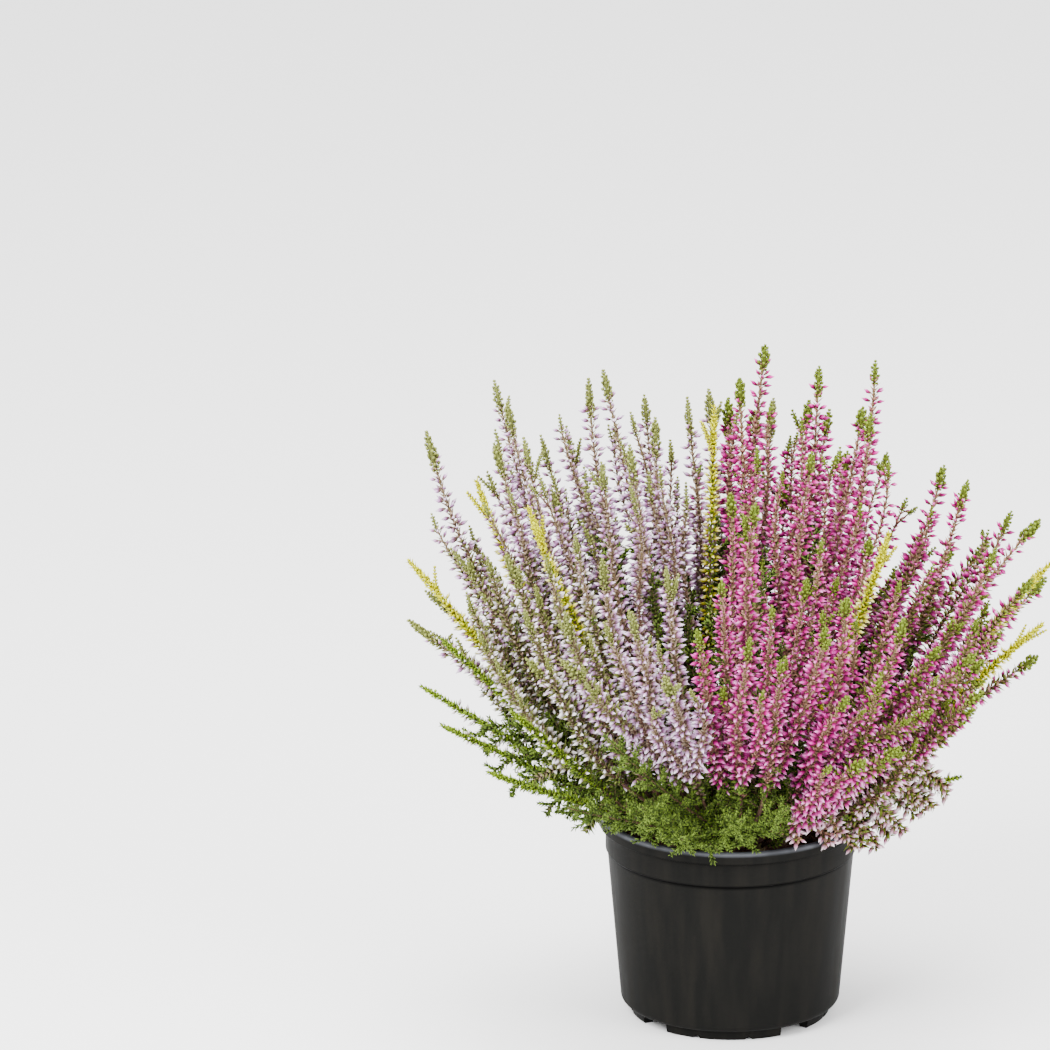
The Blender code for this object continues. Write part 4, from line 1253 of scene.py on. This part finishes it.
def spray(growth, parent, end, colour, draw):
    """A short flowering spray that hangs over the rim: thin stem, leaves and pale buds."""
    line = hanging_line(parent, end)
    stem(growth, line, 0.6, 0.3, draw)
    bare_foot(growth, line, 0.1, 0.5, 5.0 * MM, 9.0 * MM, draw)
    span = (0.3, 0.97)
    bare = SPRAY_BARE[colour]
    flowers(growth, line, span, (0.9, 0.5), draw, 1.02, bare, SPRAY_PITCH, 1.6, PALE_BUDS)
    levels = round(0.7 * length_of(line) / LEAF_LEVEL)
    leafy_line(growth, line, 0.3, 1.0, levels, CLUB, draw, 1.5, 60.0, 1)


def mossy_spray(growth, parent, end, draw):
    """A thick leafy twig without flowers that lies over the rim."""
    line = hanging_line(parent, end)
    stem(growth, line, 0.6, 0.3, draw)
    levels = round(0.8 * length_of(line) / LEAF_LEVEL)
    leafy_line(growth, line, 0.2, 1.0, levels, LEAVES, draw, 1.5, 45.0, 4)
    bare_foot(growth, line, 0.2, 0.96, 3.2 * MM, 10.0 * MM, draw, 1.15, MOSS_CORE)


def arch(growth, parent, end, colour, draw):
    """A pale spike that leaves its parent low and turns up, with leafy shoots at its foot."""
    line = arching_line(parent, end)
    bare_foot(growth, line, 0.15, 0.7, 5.0 * MM, 10.0 * MM, draw)
    low = colour == "lilac" or end[2] < LOW_ARCH
    spike(growth, line, colour, draw, 0.88, 0.34, 0.7, 0.1, PALE_BUDS if low else BUDS)


def inner_shoot(growth, crown, tips, draw):
    """A leafy shoot without flowers in the shade behind the spikes."""
    tip = np.mean(tips, axis=0) * np.array([INNER_REACH, INNER_REACH, 0.7])
    line = waved(shoot_line(crown, tip + [0.0, 0.0, 0.03], draw), draw, 3 * WAVE)
    levels = round(length_of(line) / SPARSE_LEVEL)
    leafy_line(growth, line, 0.1, 1.0, levels, LEAVES, draw, 1.7, 45.0, 4)
    stem(growth, line, 0.6, 0.3, draw)
    bare_foot(growth, line, 0.3, 0.95, 7.0 * MM, 13.0 * MM, draw, 1.5)


def forked(line, taken, draw):
    """A side spike: it leaves its parent low down and ends beside it, in the widest gap.

    Of a ring of turns, the one is taken whose spike keeps furthest from all the others.
    """
    low = draw.uniform(0.26, 0.4)
    high = draw.uniform(0.76, 0.94)
    points, _ = along(line, np.linspace(low, high, SAMPLES))
    far = draw.uniform(9.0, 14.0) * MM
    spread = np.sin(np.linspace(0.0, 1.0, SAMPLES) * math.pi / 2)[:, None]
    best = None
    for turn in np.arange(FORK_TURNS) * math.tau / FORK_TURNS + draw.uniform(0.0, 0.7):
        sideways = np.array([math.cos(turn), math.sin(turn), 0.15]) * far
        side = points + spread * sideways
        gap = np.linalg.norm(side[SAMPLES // 2 :, None] - taken[None], axis=2).min(axis=1).mean()
        if best is None or gap > best[0]:
            best = (gap, side)
    return over_rim(best[1])


def make_skins():
    """The shoots' materials by name."""
    skins = {"bark": bark_surface()}
    for name, colours in LEAF_COLOURS.items():
        sheen = GOLD_SHEEN if name == "gold_leaf" else LEAF_SHEEN
        skins[name] = leaf_surface(name, colours, sheen)
    for name, (calyx, strong, faded) in BUD_COLOURS.items():
        skins[name] = bud_surface(name, calyx, strong, faded)
    return skins


def spray_ends(branches, lines, owner):
    """The ends of the sprays and of the arches, each under the number of its nearest shoot."""
    colours = np.array([branches[number][0] for number in owner])
    sprays = {}
    arches = {}
    for colour, hanging, arching in (
        ("pink", PINK_SPRAYS, PINK_ARCHES),
        ("lilac", LILAC_SPRAYS, LILAC_ARCHES),
        ("green", GREEN_SPRAYS, ()),
    ):
        ends = [(sprays, np.array(end) * MM) for end in hanging]
        for x, seen, depth in arching:
            end = on_dome(x * MM, seen * MM, depth) - DOME_MIDDLE
            ends.append((arches, DOME_MIDDLE + ARCH_SHRINK * end))
        own = np.nonzero(colours == colour)[0]
        for taker, end in ends:
            far = np.linalg.norm(lines[own, PARENT_SAMPLE] - end, axis=1)
            taker.setdefault(own[np.argmin(far)], []).append(end)
    return sprays, arches


def flower_shoot(growth, line, colour, taken, draw):
    """A flower spike, its leafy foot and its forks; gives back all the points now taken."""
    spike(growth, waved(line, draw, WAVE), colour, draw)
    bare_foot(growth, line, 0.06, 0.46, 9.4 * MM, 12.0 * MM, draw, 1.25)
    for _ in range(int(FORKS[colour] + draw.uniform())):
        side = forked(line, taken, draw)
        taken = np.concatenate([taken, side[SAMPLES // 2 :]])
        side = waved(side, draw, 1.6 * WAVE)
        spike(growth, side, colour, draw, 0.88, 0.2, draw.uniform(0.45, 0.85))
    return taken


def gold_shoot(growth, line, draw):
    """A gold shoot: a few cream buds under a slim scaly tip that forks twice."""
    stem(growth, line, 0.8, 0.35, draw)
    bare_foot(growth, line, 0.1, 0.5, 5.5 * MM, 12.0 * MM, draw)
    flowers(growth, line, (0.4, 0.86), (0.2, 0.8), draw, 0.8, 0.1, GOLD_PITCH, 1.7)
    club(growth, line, "gold", draw)
    tip = 1.0 - CLUB_LENGTH["gold"] / length_of(line)
    leafy_line(growth, line, tip - 0.15, 1.0, GOLD_LEVELS, CLUB, draw, 1.7, 36.0, 4)
    for size in (0.9, 0.7):
        twin_tip(growth, line, "gold", draw, size)


def green_shoot(growth, line, ends, draw):
    """A leafy shoot, pale-budded where it reaches out and thick with moss near the rim."""
    stem(growth, line, 0.8, 0.3, draw)
    levels = round(length_of(line) * 0.85 / LEAF_LEVEL)
    leafy_line(growth, line, 0.15, 1.0, levels, LEAVES, draw, 1.2, 40.0, 4)
    outer = abs(line[-1][0]) > OUTER_REACH
    last, reach, core = (0.62, 12.0 * MM, 0.0) if outer else (0.88, 17.0 * MM, MOSS_CORE)
    bare_foot(growth, line, 0.12, last, 3.0 * MM, reach, draw, 1.15, core)
    if outer:
        club(growth, line, "green", draw, 0.9)
    for end in ends:
        mossy_spray(growth, line, end, draw)
    if outer:
        leafy_line(growth, line, 0.45, 0.97, levels, CLUB, draw, 1.3, 38.0, 3)
        flowers(growth, line, (0.35, 0.92), (0.95, 1.0), draw, 0.75, 0.0)


def make_branches(branches, crowns, lines, owner):
    """A fine piece for each branch of the solids."""
    skins = make_skins()
    draw = np.random.default_rng(LOOKS_SEED)
    counts = dict.fromkeys(BRANCHES, 0)
    taken = lines[:, SAMPLES // 2 :].reshape(-1, 3)
    sprays, arches = spray_ends(branches, lines, owner)
    for number, (colour, tips) in enumerate(branches):
        counts[colour] += 1
        name = f"{colour}_branch_{counts[colour]:02d}"
        growth = Growth()
        crown = np.array([[*crowns[number], level] for level in CROWN_LEVELS])
        growth.tubes(crown[None], CROWN_RADII, 8, BARK, np.zeros(1))
        for shoot in np.nonzero(owner == number)[0]:
            line = lines[shoot]
            ends = sprays.get(shoot, ())
            if colour == "gold":
                gold_shoot(growth, line, draw)
            elif colour == "green":
                green_shoot(growth, line, ends, draw)
            else:
                for end in ends:
                    spray(growth, line, end, colour, draw)
                for end in arches.get(shoot, ()):
                    arch(growth, line, end, colour, draw)
                taken = flower_shoot(growth, line, colour, taken, draw)
        inner_shoot(growth, crowns[number], tips, draw)
        piece = growth.piece("fine_" + name, [skins[skin] for skin in SKINS[colour]])
        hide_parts(name)
        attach(piece, "root")


def make_stage():
    """A plain pale floor."""
    half = 6.0
    points = half * np.array([[-1, -1, 0], [1, -1, 0], [1, 1, 0], [-1, 1, 0]])
    faces = np.array([[0, 1, 2], [0, 2, 3]])
    floor_skin = Surface("floor_paper", 0.9, 0.1)
    floor_skin.shader.inputs["Base Color"].default_value = (0.86, 0.86, 0.86, 1.0)
    floor = mesh_piece("floor", points, faces, [floor_skin.made], False)


def area_light(name, place, aim, size, power):
    """A square lamp at a place, turned towards its aim."""
    light = bpy.data.lights.new(name, "AREA")
    light.shape = "SQUARE"
    light.size = size
    light.energy = power
    made = bpy.data.objects.new(name, light)
    bpy.context.scene.collection.objects.link(made)
    made.location = place
    ahead = unit(np.array(aim) - np.array(place))
    turn_z = math.atan2(ahead[0], -ahead[1])
    made.rotation_euler = (math.acos(-ahead[2]), 0.0, turn_z + math.pi)
    return made


def make_lights():
    """Soft studio light: a pale surround, a broad key from the front left and a fill."""
    world = bpy.data.worlds.new("studio")
    world.use_nodes = True
    back = world.node_tree.nodes["Background"]
    back.inputs["Color"].default_value = (1.0, 1.0, 1.0, 1.0)
    back.inputs["Strength"].default_value = 2.4
    bpy.context.scene.world = world
    area_light("key", (-0.9, -1.1, 1.3), (0.0, 0.0, 0.15), 0.9, 72.0)
    area_light("fill", (1.3, -0.9, 0.8), (0.0, 0.0, 0.15), 1.0, 32.0)
    area_light("top", (0.0, 0.2, 1.6), (0.0, 0.0, 0.2), 0.8, 35.0)


def make_camera():
    """The photograph's view: from far off, 18 degrees above level, aimed beside the plant."""
    centre = np.array([VIEW_ACROSS, 0.0, 0.0]) + VIEW_RISE * VIEW_UP
    camera = bpy.data.cameras.new("camera")
    camera.sensor_width = SENSOR
    camera.lens = SENSOR * VIEW_DISTANCE / VIEW_WIDTH
    made = bpy.data.objects.new("camera", camera)
    bpy.context.scene.collection.objects.link(made)
    made.location = centre + VIEW_DISTANCE * VIEW_OUT
    made.rotation_euler = (math.pi / 2 - SIGHT, 0.0, 0.0)
    bpy.context.scene.camera = made


def main():
    """The whole scene: view, light, floor, lines of the shoots, pot, peat and branches."""
    make_camera()
    make_lights()
    make_stage()
    branches = gathered(all_tips())
    crowns = crown_places(branches)
    draw = np.random.default_rng(BACK_SEED)
    lines = []
    rooms = []
    owner = []
    for number, (colour, tips) in enumerate(branches):
        for tip in tips:
            lines.append(shoot_line(crowns[number], tip, draw))
            rooms.append(room(colour))
            owner.append(number)
    owner = np.array(owner)
    lines = pushed_apart(np.array(lines), np.array(rooms), owner)
    make_pot()
    make_peat()
    make_branches(branches, crowns, lines, owner)


main()
